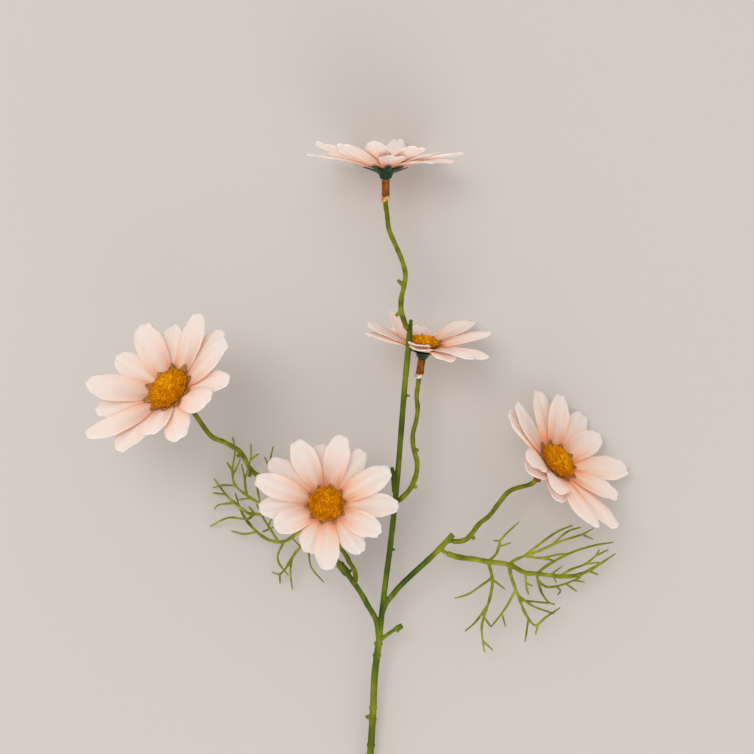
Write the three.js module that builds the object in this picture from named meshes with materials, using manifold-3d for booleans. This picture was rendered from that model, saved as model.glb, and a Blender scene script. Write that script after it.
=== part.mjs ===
// An artificial cosmos spray, laid on its back on a flat surface: one moulded
// stem with two side branches, five fabric blooms on curly stalks, and four
// thread-leaved fronds. Millimetres, +Z up from the surface, +Y towards the
// flowering end and +X to the right of somebody who looks down on it.
import * as THREE from 'three';
import { mergeVertices } from 'three/addons/utils/BufferGeometryUtils.js';
import Module from 'manifold-3d';

const wasm = await Module();
wasm.setup();

// ---------- driving dimensions ----------
const GAP = 0.35; // clear space between two pieces that meet
const STEM_RADIUS = 1.75; // below the fork
const STEM_UPPER_RADIUS = 1.3; // above the fork
const BRANCH_RADIUS = 1.35;
const STALK_RADIUS = 1.15;
const PEG_RADIUS = 0.75; // the nubs that a stalk is plugged on
const SHEET = 0.72; // upright thickness of a petal sheet
const CUP_SLOPE = 0.33; // a bloom's layers are nested cones as far as
const CURL_START = 9; // this radius, where the petals go their own way
const CUP_FADE = 13; // and level out over this length
const PETAL_ROOT = 3.6;
const PETAL_HALF_WIDTH = 5.5;
const HUB_RADIUS = 4.6;
const HUB = 0.41; // half the thickness of a sheet's hub
const PIN_RADIUS = 0.8;
const PIN_HOLE = 1.2;
const NECK_RADIUS = 1.9;
const NECK_TOP = -4.0; // heights along a bloom's own axis, from its back sheet
const NECK_BOTTOM = -11.6;
const INNER_SHEET = 1.27;
const BRACT_LEVEL = 2.4;
const DISC_LEVEL = 3.07;
const DISC_RISE = 0.5; // a disc's height for its radius
const SEPAL_LEVEL = -1.28;
const SEPAL_REACH = 10.6;
const SEPALS = 8;
const BRACT_TIPS = 10;
const BRACT_SPREAD = 1.18; // the star reaches this far past the disc

const GREEN = { color: 0x4e7a2a, roughness: 0.5, metalness: 0 };
const OLIVE = { color: 0x7a8a1e, roughness: 0.5, metalness: 0 };
const LEAF = { color: 0x93a232, roughness: 0.55, metalness: 0 };
const PETAL = { color: 0xeed8cc, roughness: 0.85, metalness: 0 };
const OCHRE = { color: 0xcf860e, roughness: 0.8, metalness: 0 };
const BRACT = { color: 0xa07048, roughness: 0.7, metalness: 0 };
const SEPAL = { color: 0x1f4a38, roughness: 0.45, metalness: 0 };
const NECK = { color: 0x9a5a18, roughness: 0.4, metalness: 0 };
const AMBER = { color: 0xd09a30, roughness: 0.25, metalness: 0 };
const CREAM = { color: 0xd8ccb8, roughness: 0.3, metalness: 0 };

const spray = new THREE.Group();
const point = ([x, y, z]) => new THREE.Vector3(x, y, z);

// ---------- solids ----------
function solid(geometry) {
  const bare = geometry.index ? geometry.toNonIndexed() : geometry.clone();
  for (const name of Object.keys(bare.attributes)) {
    if (name !== 'position') bare.deleteAttribute(name);
  }
  const merged = mergeVertices(bare, 1e-4);
  const vertProperties = new Float32Array(merged.attributes.position.array);
  const triVerts = new Uint32Array(merged.index.array);
  const body = new wasm.Manifold(new wasm.Mesh({ numProp: 3, vertProperties, triVerts }));
  if (body.volume() > 0) return body;
  return new wasm.Manifold(new wasm.Mesh({ numProp: 3, vertProperties, triVerts: triVerts.reverse() }));
}

function union(solids) {
  return solids.reduce((whole, next) => whole.add(next));
}

function addMesh(parent, name, body, finish) {
  const { vertProperties, triVerts } = body.getMesh();
  const geometry = new THREE.BufferGeometry();
  geometry.setAttribute('position', new THREE.BufferAttribute(vertProperties, 3));
  geometry.setIndex(new THREE.BufferAttribute(triVerts, 1));
  geometry.computeVertexNormals();
  const mesh = new THREE.Mesh(geometry, new THREE.MeshStandardMaterial(finish));
  mesh.name = name;
  parent.add(mesh);
  return mesh;
}

// The value at a fraction of the way, read off a short list of [fraction, value].
function blend(stops, fraction) {
  const next = stops.findIndex(([at]) => at >= fraction);
  if (next <= 0) return stops[next === 0 ? 0 : stops.length - 1][1];
  const [[a, low], [b, high]] = [stops[next - 1], stops[next]];
  return low + (high - low) * (fraction - a) / (b - a);
}

// A closed rod along a smooth curve, thick as a list of [fraction, radius] says.
function rod(points, stops, sides, steps) {
  const curve = new THREE.CatmullRomCurve3(points, false, 'centripetal');
  const { normals, binormals } = curve.computeFrenetFrames(steps);
  const geometry = new THREE.CylinderGeometry(1, 1, 1, sides, steps);
  const place = geometry.attributes.position;
  for (let i = 0; i < place.count; i += 1) {
    const step = Math.round((place.getY(i) + 0.5) * steps);
    const radius = blend(stops, step / steps);
    const centre = curve.getPointAt(step / steps);
    centre.addScaledVector(normals[step], place.getX(i) * radius);
    centre.addScaledVector(binormals[step], -place.getZ(i) * radius);
    place.setXYZ(i, centre.x, centre.y, centre.z);
  }
  return solid(geometry);
}

// A thin sheet: form(across, along) gives the middle, from -1 to 1 and 0 to 1.
function blade(form, across, along, thickness) {
  const sheet = new THREE.PlaneGeometry(2, 1, across, along);
  const grid = sheet.attributes.position;
  const faces = [];
  const corners = [];
  for (const side of [0.5, -0.5]) {
    for (let i = 0; i < grid.count; i += 1) {
      const spot = form(grid.getX(i), grid.getY(i) + 0.5);
      corners.push(spot.x, spot.y, spot.z + side * thickness);
    }
  }
  for (let i = 0; i < sheet.index.count; i += 3) {
    const [a, b, c] = [0, 1, 2].map((k) => sheet.index.getX(i + k));
    faces.push(a, b, c, c + grid.count, b + grid.count, a + grid.count);
  }
  const row = across + 1;
  const edge = [];
  for (let i = 0; i < across; i += 1) edge.push(i);
  for (let j = 0; j < along; j += 1) edge.push(j * row + across);
  for (let i = across; i > 0; i -= 1) edge.push(along * row + i);
  for (let j = along; j > 0; j -= 1) edge.push(j * row);
  edge.forEach((a, k) => {
    const b = edge[(k + 1) % edge.length];
    faces.push(a, b, a + grid.count, b, b + grid.count, a + grid.count);
  });
  const closed = new THREE.BufferGeometry();
  closed.setAttribute('position', new THREE.Float32BufferAttribute(corners, 3));
  closed.setIndex(faces);
  return solid(closed);
}

// A round piece turned on the bloom's axis; profile is a list of [radius, height].
function turned(profile, sides, shape = (spot) => spot) {
  const ring = new THREE.LatheGeometry(profile.map(([r, z]) => new THREE.Vector2(r, z)), sides);
  ring.rotateX(Math.PI / 2);
  const place = ring.attributes.position;
  for (let i = 0; i < place.count; i += 1) {
    const spot = shape(point([place.getX(i), place.getY(i), place.getZ(i)]), i);
    place.setXYZ(i, spot.x, spot.y, spot.z);
  }
  return solid(ring);
}

// ---------- a bloom ----------
// The height that every layer of a bloom shares at a radius.
function cup(radius) {
  const cone = CUP_SLOPE * (Math.min(radius, CURL_START) - PIN_HOLE);
  const out = Math.max(0, radius - CURL_START);
  return cone + CUP_SLOPE * CUP_FADE * (1 - Math.exp(-out / CUP_FADE));
}

const PETAL_OUTLINE = [[0.1, 0.24], [0.3, 0.52], [0.72, 1], [1, 0.62]];

// angle and lift in degrees, reach in mm; bow arches the petal up half way.
function petal([angle, reach, lift, bow = 0], level, width, curl) {
  const tilt = THREE.MathUtils.degToRad(lift);
  const flat = reach * Math.cos(tilt);
  const rise = reach * Math.sin(tilt) - cup(flat);
  return blade((across, along) => {
    const tipDrop = along > 0.95 ? 2.6 * across ** 4 : 0;
    const rows = [[0, PETAL_ROOT], [0.34, CURL_START], [0.67, 0.72 * flat], [1, flat]];
    const radius = blend(rows, along) - tipDrop;
    const free = Math.max(0, (radius - CURL_START) / (flat - CURL_START));
    const turn = THREE.MathUtils.degToRad(angle);
    const side = across * width * blend(PETAL_OUTLINE, radius / flat);
    const x = radius * Math.cos(turn) - side * Math.sin(turn);
    const y = radius * Math.sin(turn) + side * Math.cos(turn);
    const fold = curl * free * (across ** 2 - 0.4) + bow * Math.sin(Math.PI * Math.min(1, free));
    return point([x, y, cup(radius) + level + rise * free ** 1.6 + fold]);
  }, 3, 3, SHEET);
}

// One die-cut sheet: seven petals that are one piece with a punched hub.
function petalSheet(petals, level, width) {
  const hub = turned([
    [PIN_HOLE, level - HUB], [HUB_RADIUS, cup(HUB_RADIUS) + level - HUB],
    [HUB_RADIUS, cup(HUB_RADIUS) + level + HUB], [PIN_HOLE, level + HUB], [PIN_HOLE, level - HUB],
  ], 12);
  const leaves = petals.map((row, i) => petal(row, level, width, i % 2 ? 0.9 : -0.7));
  return union([hub, ...leaves]);
}

// A cushion of packed florets on a pin that holds the whole bloom together.
function discSolid(radius) {
  const top = DISC_LEVEL + DISC_RISE * radius;
  const rim = cup(radius) + DISC_LEVEL + 0.4;
  const sides = 14;
  const profile = [
    [0, -2.4], [PIN_RADIUS, -2.4], [PIN_RADIUS, DISC_LEVEL], [PIN_HOLE, DISC_LEVEL],
    [0.85 * radius, cup(0.85 * radius) + DISC_LEVEL], [radius, rim], [0.98 * radius, rim + 1.1],
    [0.84 * radius, top - 0.8], [0.6 * radius, top - 0.2], [0.3 * radius, top], [0, top - 0.1],
  ];
  return turned(profile, sides, (spot, i) => {
    const row = i % profile.length;
    if (row < 5 || row === profile.length - 1) return spot;
    const bead = (Math.floor(i / profile.length) % sides + row) % 2 ? 0.28 : -0.2;
    const grow = 1 + bead / Math.hypot(spot.x, spot.y);
    return point([spot.x * grow, spot.y * grow, spot.z + bead * 0.6]);
  });
}

// A star of pointed brown bracts that lies under the disc.
function bractSolid(radius, spin) {
  const sides = 2 * BRACT_TIPS;
  const profile = [
    [PIN_HOLE, -0.28], [radius, -0.28], [radius, 0.28], [PIN_HOLE, 0.28], [PIN_HOLE, -0.28],
  ];
  return turned(profile, sides, (spot) => {
    const r = Math.hypot(spot.x, spot.y);
    const turn = Math.atan2(spot.y, spot.x);
    const tip = Math.round(turn / (2 * Math.PI) * sides) % 2 === 0;
    const reach = r > 2 * PIN_HOLE && !tip ? 0.74 * r : r;
    const lean = turn + spin;
    return point([reach * Math.cos(lean), reach * Math.sin(lean), spot.z + cup(reach) + BRACT_LEVEL]);
  });
}

// The moulded cup with its ring of sepals, a socket for the pin and a shank below.
function calyxSolid(size, spin) {
  const under = SEPAL_LEVEL + 0.38;
  const body = turned([
    [0, -6.9], [0.9, -6.9], [0.9, NECK_TOP + 0.4], [1.9, NECK_TOP + 0.4], [2.6, -2.9], [3.4, -1.9],
    [4.6, cup(4.6) - 1.6], [4.6, cup(4.6) + under], [PIN_HOLE, under], [PIN_HOLE, -2.8], [0, -2.8],
  ], 8);
  const leaves = [];
  for (let i = 0; i < SEPALS; i += 1) {
    const turn = spin + i * 2 * Math.PI / SEPALS;
    leaves.push(blade((across, along) => {
      const radius = 3.6 + (SEPAL_REACH * size - 3.6) * along;
      const side = across * blend([[0, 1.5], [0.4, 2], [0.75, 1.3], [1, 0.3]], along);
      const x = radius * Math.cos(turn) - side * Math.sin(turn);
      const y = radius * Math.sin(turn) + side * Math.cos(turn);
      return point([x, y, cup(radius) + SEPAL_LEVEL - 0.5 * along ** 2]);
    }, 1, 2, 0.7));
  }
  return union([body, ...leaves]);
}

// The tube between calyx and stalk, with a socket at either end.
function neckSolid() {
  return turned([
    [0, -7.4], [1.32, -7.4], [1.32, NECK_TOP], [NECK_RADIUS, NECK_TOP],
    [1.95, NECK_BOTTOM], [1.1, NECK_BOTTOM], [1.1, -9.4], [0, -9.4],
  ], 8);
}

const blooms = {};

function bloom({ name, at, axis, size, disc, spin, front, back }) {
  const facing = point(axis).normalize();
  const right = new THREE.Vector3(1, 0, 0).addScaledVector(facing, -facing.x).normalize();
  const up = facing.clone().cross(right);
  const head = new THREE.Group();
  head.position.copy(point(at));
  head.quaternion.setFromRotationMatrix(new THREE.Matrix4().makeBasis(right, up, facing));
  const width = PETAL_HALF_WIDTH * size;
  addMesh(head, `${name}_petals_front`, petalSheet(front, INNER_SHEET, width), PETAL);
  addMesh(head, `${name}_petals_back`, petalSheet(back, 0, width), PETAL);
  addMesh(head, `${name}_disc`, discSolid(disc), OCHRE);
  addMesh(head, `${name}_bracts`, bractSolid(disc * BRACT_SPREAD, spin), BRACT);
  addMesh(head, `${name}_calyx`, calyxSolid(size, spin), SEPAL);
  addMesh(head, `${name}_neck`, neckSolid(), NECK);
  spray.add(head);
  head.updateMatrixWorld(true);
  blooms[name] = (height) => head.localToWorld(new THREE.Vector3(0, 0, height));
  return head;
}

// Petals are [angle, reach, lift, bow]: a bloom is pressed from two sheets of seven,
// and each petal was bent by hand, so that they differ a little.
bloom({
  name: 'front', at: [-23.1, -59.4, 47], axis: [-0.05, 0.25, 0.97], size: 0.97, disc: 7.5, spin: 0.09,
  front: [[116, 32, 12], [77, 32, 12], [26, 33, 14], [-30, 29, 15], [-88, 31, 14], [-154, 26, 15], [161, 34, 14]],
  back: [[142, 33, 5], [98, 28, 3], [57, 29.5, 4], [-2, 32.5, 7], [-54, 27, 6], [-112, 23, 4], [-177, 30.5, 8]],
});
bloom({
  name: 'left', at: [-92.1, -8, 59], axis: [-0.47, 0.53, 0.71], size: 1.12, disc: 9.8, spin: 0.2,
  front: [[167, 40.5, 22], [110, 38.5, 19], [58, 37, 18], [13, 37, 18], [-38, 36, 18], [-99, 28, 19], [-148, 42, 20]],
  back: [[138, 38.5, 13], [90, 35, 11], [38, 35.5, 10], [-14, 35, 12], [-72, 35, 13], [-128, 36, 13], [-178, 37, 13]],
});
bloom({
  name: 'right', at: [83, -42.4, 26.8], axis: [0.57, 0.57, 0.59], size: 1.08, disc: 8.7, spin: 0.1,
  front: [
    [155, 34.6, 19], [92, 36.5, 19], [46, 33, 18], [-20, 33, 16], [-74, 42, 16], [-108, 30, 20, 1.5], [-145, 32, 20, 1.5],
  ],
  back: [
    [161, 34.2, 15], [107, 38.5, 12], [66, 40, 13], [15, 41.3, 14], [-46, 41, 12], [-99, 27, 13, 0.4], [-139, 30, 15.5, 1],
  ],
});
bloom({
  name: 'middle', at: [21.8, 12.6, 30], axis: [0.13, 0.93, 0.35], size: 0.9, disc: 6.7, spin: 0.41,
  front: [
    [97, 20, 12], [46, 34.5, 14], [12.6, 32, 17], [-47, 30, 11], [-103, 22, 22.5, 1.2], [155, 22.5, 35], [-178.5, 28.5, 18],
  ],
  back: [[78, 22, 5], [32, 33, 9], [-22, 31.5, 8], [-58, 23, 9], [-99, 20, 19.5, 1], [126, 24, 7], [-172, 28, 12]],
});
bloom({
  name: 'top', at: [4.1, 97, 32.05], axis: [0, 0.998, 0.06], size: 1.03, disc: 8.4, spin: 0.16,
  front: [[-156, 36, 17.5], [150, 34, 15], [80, 37, 27.5], [40, 34, 16], [-8, 36.5, 10.5], [-57, 30, 15.5], [-100, 30, 19]],
  back: [[-178, 37, 11.5], [115, 34, 13], [60, 34, 12], [20, 34, 9], [-32, 25, 7], [-80, 24, 13], [-128, 35, 16.5]],
});

// ---------- stem ----------
// Centre lines, from the cut end upwards.
const TRUNK = [
  [-6.9, -250, 2.6], [-3.2, -183.3, 7.5], [-1.9, -161.9, 10], [-1.1, -143.9, 13], [0.7, -129, 15.5], [1.7, -119, 18],
  [4.1, -97.9, 21.5], [6.6, -78, 25], [9.6, -48.2, 29.5], [11.3, -26.4, 32.5], [13, -4.7, 35], [14.6, 12.6, 36.6],
  [15.9, 26.9, 38],
].map(point);
const LEFT_BRANCH = [
  [1.4, -128.9, 16], [0.6, -124.3, 17.5], [0, -118.3, 19], [-1.2, -114.6, 20], [-4.2, -109.6, 20.6],
  [-7.8, -103.1, 21.2], [-14.8, -93.1, 22], [-27.6, -77.1, 24], [-39.8, -59.3, 27], [-47.1, -49, 28.8],
].map(point);
const RIGHT_BRANCH = [
  [1.7, -120.5, 17.5], [2.6, -113, 19.2], [4.3, -108.3, 20.5], [7.2, -104.5, 21.3], [10.5, -100.4, 21.8],
  [17.2, -93.8, 22.4], [25.7, -86, 23], [31.8, -79.8, 23.5], [36.2, -75, 24],
].map(point);
const STUB = [[1.2, -127, 15.6], [4.8, -124, 16.5], [8.2, -121.5, 17.5], [12, -119.3, 18.5]].map(point);

const LEAF_SEATS = {
  right: { from: [29.6, -82, 23.3], to: [33.4, -84.1, 23.2] },
  lower: { from: [-32.9, -69.5, 25.3], to: [-35.3, -71.4, 25] },
  middle: { from: [-37.2, -63, 26.4], to: [-40, -63.3, 26] },
  near: { from: [-28.6, -75.9, 24.2], to: [-31.4, -77.3, 23.6] },
};

// A short nub that stands out of the stem, from a point on its centre line.
function nub(from, to, root, tip) {
  return rod([point(from), point(to)], [[0, root], [1, tip]], 5, 1);
}

function collar(at, radius) {
  return rod([point(at), point([at[0] + 0.1, at[1] + 1.2, at[2] + 0.15])], [[0, radius], [1, radius]], 6, 1);
}

function stemSolid() {
  const trunkStops = [[0, STEM_RADIUS], [0.43, STEM_RADIUS], [0.5, 1.45], [0.96, STEM_UPPER_RADIUS], [1, 0.5]];
  const pieces = [
    rod(TRUNK, trunkStops, 8, 16),
    rod(LEFT_BRANCH, [[0, 1.3], [0.2, BRANCH_RADIUS], [1, 1.15]], 7, 11),
    rod(RIGHT_BRANCH, [[0, 1], [0.15, BRANCH_RADIUS], [1, 1.45]], 7, 9),
    rod(STUB, [[0, 0.9], [0.7, 0.9], [0.8, 1.5], [1, 1.3]], 6, 5),
    // the thick sleeve on the left branch, under the front bloom
    rod([point([-13.9, -94.3, 21.9]), point([-18, -89.1, 22.5])], [[0, 2], [1, 2.1]], 7, 1),
    collar([-0.1, -134.8, 14.5], 2.1),
    collar([0.6, -129, 15.6], 2.2),
    collar([-2.2, -166.5, 9.3], 2.05),
    collar([-1.9, -161, 10.1], 2),
    collar([-3, -179.5, 7.9], 2.05),
    nub([-2, -164, 9.6], [-5.4, -165, 10.4], 1.1, 0.8),
    nub([2, -116, 18.4], [-0.8, -116.6, 19.6], 0.9, 0.6),
    nub([6.2, -81.6, 24.3], [8.7, -82.4, 24.6], 0.8, 0.5),
    nub([8.2, -54.6, 28.8], [7.1, -42.6, 30.2], 1.1, 0.85),
    nub([12.7, -8.4, 34.5], [15.5, -8.9, 34.4], 0.8, 0.5),
    nub([-14.2, -94, 21.9], [-12, -92, 21.9], 1, 0.6),
    // pegs for the stalks that leave the stem half way up
    nub([8.3, -60.8, 27.7], [10.9, -58.4, 28.6], PEG_RADIUS, PEG_RADIUS),
    nub([-11.5, -98.9, 21.6], [-10.9, -98.9, 23.1], PEG_RADIUS, PEG_RADIUS),
    nub([15.3, 20.6, 37.4], [13.5, 23, 39.9], PEG_RADIUS, PEG_RADIUS),
    nub([33.2, -78.4, 23.7], [36.6, -78.4, 24.2], PEG_RADIUS, PEG_RADIUS),
  ];
  for (const seat of Object.values(LEAF_SEATS)) {
    pieces.push(nub(seat.from, seat.to, 1.05, 0.9));
  }
  return union(pieces);
}

addMesh(spray, 'main_stem', stemSolid(), GREEN);

// ---------- stalks ----------
// A stalk's free points run from the stem to just behind its bloom.
function stalk(name, points, nubs, steps) {
  const end = blooms[name](NECK_BOTTOM - GAP);
  const route = [...points.map(point), blooms[name](NECK_BOTTOM - 4), end];
  const plug = [blooms[name](NECK_BOTTOM - 1.5), blooms[name](-9.8)];
  const pieces = [
    rod(route, [[0, STALK_RADIUS * 1.1], [0.3, STALK_RADIUS], [1, STALK_RADIUS]], 6, steps),
    rod(plug, [[0, 0.7], [1, 0.7]], 5, 1),
    ...nubs.map(([from, to]) => nub(from, to, 0.9, 0.5)),
  ];
  addMesh(spray, `${name}_stalk`, union(pieces), OLIVE);
}

stalk('left', [
  [-48.9, -47.1, 29.4], [-52.9, -47.3, 31], [-56.7, -46, 32.5], [-60.2, -42.3, 34], [-61.9, -38.4, 36],
  [-63.6, -35.3, 38], [-65.9, -33.3, 40], [-70.8, -30.3, 43], [-76.4, -27.5, 46.5],
], [[[-63.2, -36, 38], [-65.5, -37.2, 38.4]], [[-58.8, -43.8, 33.4], [-60.4, -47, 33.4]]], 15);
stalk('right', [
  [37.1, -78.3, 24.2], [40, -78.2, 24], [42.7, -77.2, 23.8], [45.6, -74.1, 23.4], [48.9, -69.9, 22.8],
  [53.3, -66.6, 22], [58.4, -60.2, 21], [63.4, -54.6, 20.4],
], [[[44.4, -75.4, 23.6], [46.6, -77.2, 24]]], 13);
stalk('front', [
  [-10.6, -97.4, 24.8], [-10.2, -95.6, 24.4], [-10.4, -93.3, 24.1], [-11, -91.4, 24.2], [-12.9, -88.5, 24.9], [-14.2, -85.5, 25.8],
  [-16.2, -82.5, 27], [-17.7, -79, 28.6],
], [], 11);
stalk('middle', [
  [11.5, -57.5, 28.8], [13.9, -55.1, 29.3], [16.5, -51.5, 29.6], [18.6, -45.6, 29.8], [18.9, -39.9, 29.6],
  [17.3, -33.6, 29.2], [17, -27, 28.8], [18.6, -20.6, 28.3], [19.3, -15, 27.6], [18.8, -9.5, 26.6], [19.3, -5.2, 25.5],
], [[[17.4, -34.8, 29.3], [19.7, -34.4, 29.7]], [[16.7, -51, 29.6], [18.9, -52.4, 29.9]]], 17);
stalk('top', [
  [13.3, 24.2, 40.4], [12.3, 27, 42.6], [11.2, 30.8, 44.2], [11.3, 36.6, 44.4], [12.6, 42.3, 43.2], [13.2, 47.9, 42],
  [11.6, 54.5, 40.6], [8.4, 62.3, 38], [5.6, 69.4, 35.5], [4.8, 76.3, 33.4],
], [[[11.3, 30.4, 44.2], [8.7, 28.4, 44.8]], [[12.6, 42.2, 43.2], [9.8, 44.4, 43.8]]], 17);

// Hardened glue that was squeezed out where a neck was fixed on its stalk.
function glueBead(name, finish, thickness) {
  const top = NECK_BOTTOM - GAP;
  const wall = STALK_RADIUS + 1.3 * GAP;
  const body = turned([
    [wall, top - 1.6], [wall + 0.5 * thickness, top - 1.9], [wall + thickness, top - 1],
    [wall + 0.8 * thickness, top], [wall, top], [wall, top - 1.6],
  ], 9, (spot) => {
    const swell = 1 + 0.12 * Math.sin(3 * Math.atan2(spot.y, spot.x));
    const outside = Math.hypot(spot.x, spot.y) > wall + 0.1;
    return outside ? point([spot.x * swell, spot.y * swell, spot.z]) : spot;
  });
  const centre = blooms[name](0);
  const group = new THREE.Group();
  group.position.copy(centre);
  const axis = blooms[name](1).sub(centre);
  group.quaternion.setFromUnitVectors(new THREE.Vector3(0, 0, 1), axis.normalize());
  addMesh(group, `${name}_glue`, body, finish);
  spray.add(group);
}

glueBead('top', AMBER, 0.9);
glueBead('middle', CREAM, 1.1);

// ---------- thread-leaved fronds ----------
// Every twig is [root radius, tip radius, then its [x, y] points], measured from
// where the frond leaves the stem. The frond sinks from there to the surface.
function frond(name, { base, drop, span, rootGap, twigs }) {
  const sink = ([x, y]) => {
    const away = Math.hypot(x, y);
    return point([base[0] + x, base[1] + y, base[2] - drop * (away / span) ** 1.5]);
  };
  const trail = [];
  const pieces = twigs.map(([root, tip, ...points], i) => {
    const route = points.map(sink);
    if (i === 0) {
      const ahead = route[1].clone().sub(route[0]).normalize();
      route[0].addScaledVector(ahead, rootGap);
    } else {
      // the root is sunk into the middle of the twig that it grows from
      trail.sort((a, b) => a.distanceTo(route[0]) - b.distanceTo(route[0]));
      route[0].copy(trail[0]);
    }
    const steps = points.length - 1;
    const spine = new THREE.CatmullRomCurve3(route, false, 'centripetal').getSpacedPoints(steps);
    for (let k = 0; k < 12 * steps; k += 1) {
      const [from, to] = [spine[Math.floor(k / 12)], spine[Math.floor(k / 12) + 1]];
      trail.push(from.clone().lerp(to, (k % 12) / 12));
    }
    return rod(route, [[0, root], [1, tip]], i === 0 ? 5 : 3, steps);
  });
  addMesh(spray, name, union(pieces), LEAF);
}

frond('right_frond', {
  base: [33.6, -84.2, 23.2], drop: 10, span: 85, rootGap: GAP,
  twigs: [
    [1.5, 0.6, [0, 0], [4.5, -1.5], [14.5, -3], [19.5, -4], [29.5, -5.5], [37.5, -9.5], [43, -10], [55, -11.5],
      [63, -11], [71, -7.5], [81.5, -1]],
    [0.8, 0.5, [19.5, -4], [23.5, 0], [25.5, 6], [28, 9], [34.5, 15]],
    [0.6, 0.5, [25.5, 6], [22, 6]],
    [0.6, 0.5, [25, 2.5], [30.5, 5]],
    [0.9, 0.5, [19.5, -4], [21.5, -12.5], [20.5, -21], [17.5, -30.5], [16.5, -36], [18, -48]],
    [0.7, 0.5, [21.5, -11.5], [16, -15.5], [10, -19.5], [3.5, -21.5]],
    [0.6, 0.5, [22, -12.5], [28, -17.5]],
    [0.7, 0.5, [19, -25], [13.5, -33], [8.5, -37.5]],
    [0.6, 0.5, [18, -31], [21, -35.5]],
    [0.6, 0.5, [18, -42], [22, -47]],
    [0.9, 0.8, [29.5, -5.5], [33, -3], [37, -1.5]],
    [0.8, 0.5, [37, -1.5], [43.5, 3.5], [53, 10], [60.5, 13]],
    [0.8, 0.5, [37, -1.5], [43, 0.5], [55, 5.5], [65, 8.5], [71, 11.5]],
    [0.6, 0.5, [65, 8.5], [70.5, 6]],
    [0.6, 0.5, [50, 3.5], [58, 10], [64.5, 12]],
    [0.7, 0.5, [37, -1.5], [45.5, -2.5], [53, -1], [58.5, -0.5]],
    [0.6, 0.5, [45.5, -2.5], [52, -4]],
    [0.9, 0.5, [29.5, -5.5], [30.5, -11], [34, -20.5], [38, -30], [42.5, -35], [47, -31.5], [54.5, -26.5]],
    [0.6, 0.5, [39, -31.5], [37.5, -43]],
    [0.6, 0.5, [43.5, -34.5], [42.5, -39.5]],
    [0.7, 0.5, [34, -20.5], [41, -25.5], [51.5, -29.5]],
    [0.6, 0.5, [35, -22.5], [42, -23.5], [50, -24.5]],
    [0.7, 0.5, [32.5, -18], [28.5, -25.5], [23, -33], [21, -35.5]],
    [0.6, 0.5, [26, -29], [28, -35.5]],
    [0.7, 0.5, [37.5, -9.5], [38, -16.5], [39, -20]],
    [0.6, 0.5, [38, -14.5], [41, -16]],
    [0.8, 0.5, [43, -10], [47.5, -6.5], [59, -0.5], [70.5, 3], [80.5, 4.5]],
    [0.8, 0.7, [43, -10], [43.5, -13.5]],
    [0.7, 0.5, [43.5, -13.5], [48, -16.5], [55.5, -15.5], [61, -13.5], [64.5, -12]],
    [0.6, 0.5, [57.5, -15], [62.5, -19]],
    [0.6, 0.5, [61, -13.5], [66.5, -14.5]],
    [0.6, 0.5, [52.5, -16], [54.5, -18.5], [53, -20.5]],
    [0.7, 0.5, [43.5, -13.5], [45.5, -19.5], [49, -24], [52, -25]],
    [0.6, 0.5, [49.5, -10.5], [55.5, -6.5]],
    [0.7, 0.5, [54.5, -11.5], [59, -8.5], [66, -6], [71.5, -2], [73.5, 1]],
    [0.6, 0.5, [71.5, -2], [78, 1]],
    [0.6, 0.5, [66, -6], [73.5, -5]],
    [0.6, 0.5, [51, -11], [52.5, -14.5]],
    [0.6, 0.5, [68, -9], [73, -11]],
  ],
});

frond('left_frond_lower', {
  base: [-33.7, -70.1, 25.5], drop: 24, span: 42, rootGap: 2.6,
  twigs: [
    [1, 0.5, [0, 0], [-2, -2.5], [-6, -5.5], [-9.5, -8], [-13.5, -9], [-18.5, -8], [-23, -5.5], [-26.5, -2.5],
      [-30, 1.5], [-32.5, 5.5], [-35.5, 13.5]],
    [0.7, 0.5, [-13.5, -8.5], [-18, -2], [-21, 2.5], [-24.5, 9]],
    [0.6, 0.5, [-24.5, -4.5], [-30.5, -6], [-37.5, -5]],
    [0.6, 0.5, [-18, -2.5], [-15, -1.5]],
    [0.6, 0.5, [-18, -2.5], [-21.5, -4.5]],
    [0.6, 0.5, [-18.5, -1.5], [-16, 4]],
    [0.7, 0.5, [-11, -8.5], [-14, -16], [-13.5, -19.5], [-9, -26]],
  ],
});

frond('left_frond_middle', {
  base: [-37.7, -63.6, 26.6], drop: 27.2, span: 50, rootGap: 2.8,
  twigs: [
    [1, 0.5, [0, 0], [-5.5, 0], [-10, -1], [-17.5, -2], [-23.5, -2], [-26.5, -0.5], [-30.5, 2.5], [-34.5, 5.5],
      [-42, 14]],
    [0.6, 0.5, [-36, 6.5], [-42.5, 7]],
    [0.7, 0.5, [-31, 3], [-40, 1], [-41.5, -1]],
    [0.6, 0.5, [-21, -2], [-24, 1.5]],
    [0.7, 0.5, [-21, -2], [-24, -4.5], [-34, -4.5], [-44, -9.5]],
    [0.6, 0.5, [-18.5, -2], [-16, -4.5]],
    [0.8, 0.5, [-5.5, 0], [-17.5, 3], [-24.5, 6.5], [-31, 11.5], [-32.5, 17.5], [-31.5, 27.5], [-33, 34]],
    [0.6, 0.5, [-30.5, 11], [-37.5, 11], [-42.5, 9.5]],
    [0.6, 0.5, [-22.5, 5.5], [-29, 4.5]],
    [0.7, 0.5, [-25, 7], [-26.5, 16], [-28, 21.5]],
    [0.6, 0.5, [-26, 14], [-23.5, 23.5], [-23.5, 31]],
    [0.6, 0.5, [-23.5, 23.5], [-19.5, 26.5]],
    [0.6, 0.5, [-18.5, 3.5], [-20, 11.5]],
    [0.6, 0.5, [-32.5, 18.5], [-35.5, 22]],
    [0.6, 0.5, [-31.5, 16.5], [-29.5, 21.5], [-28.5, 24.5]],
    [0.7, 0.5, [-5.5, 0], [-11, 6], [-13, 16], [-13.5, 24], [-12.5, 30]],
    [0.6, 0.5, [-13.5, 19], [-16.5, 25]],
  ],
});

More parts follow.
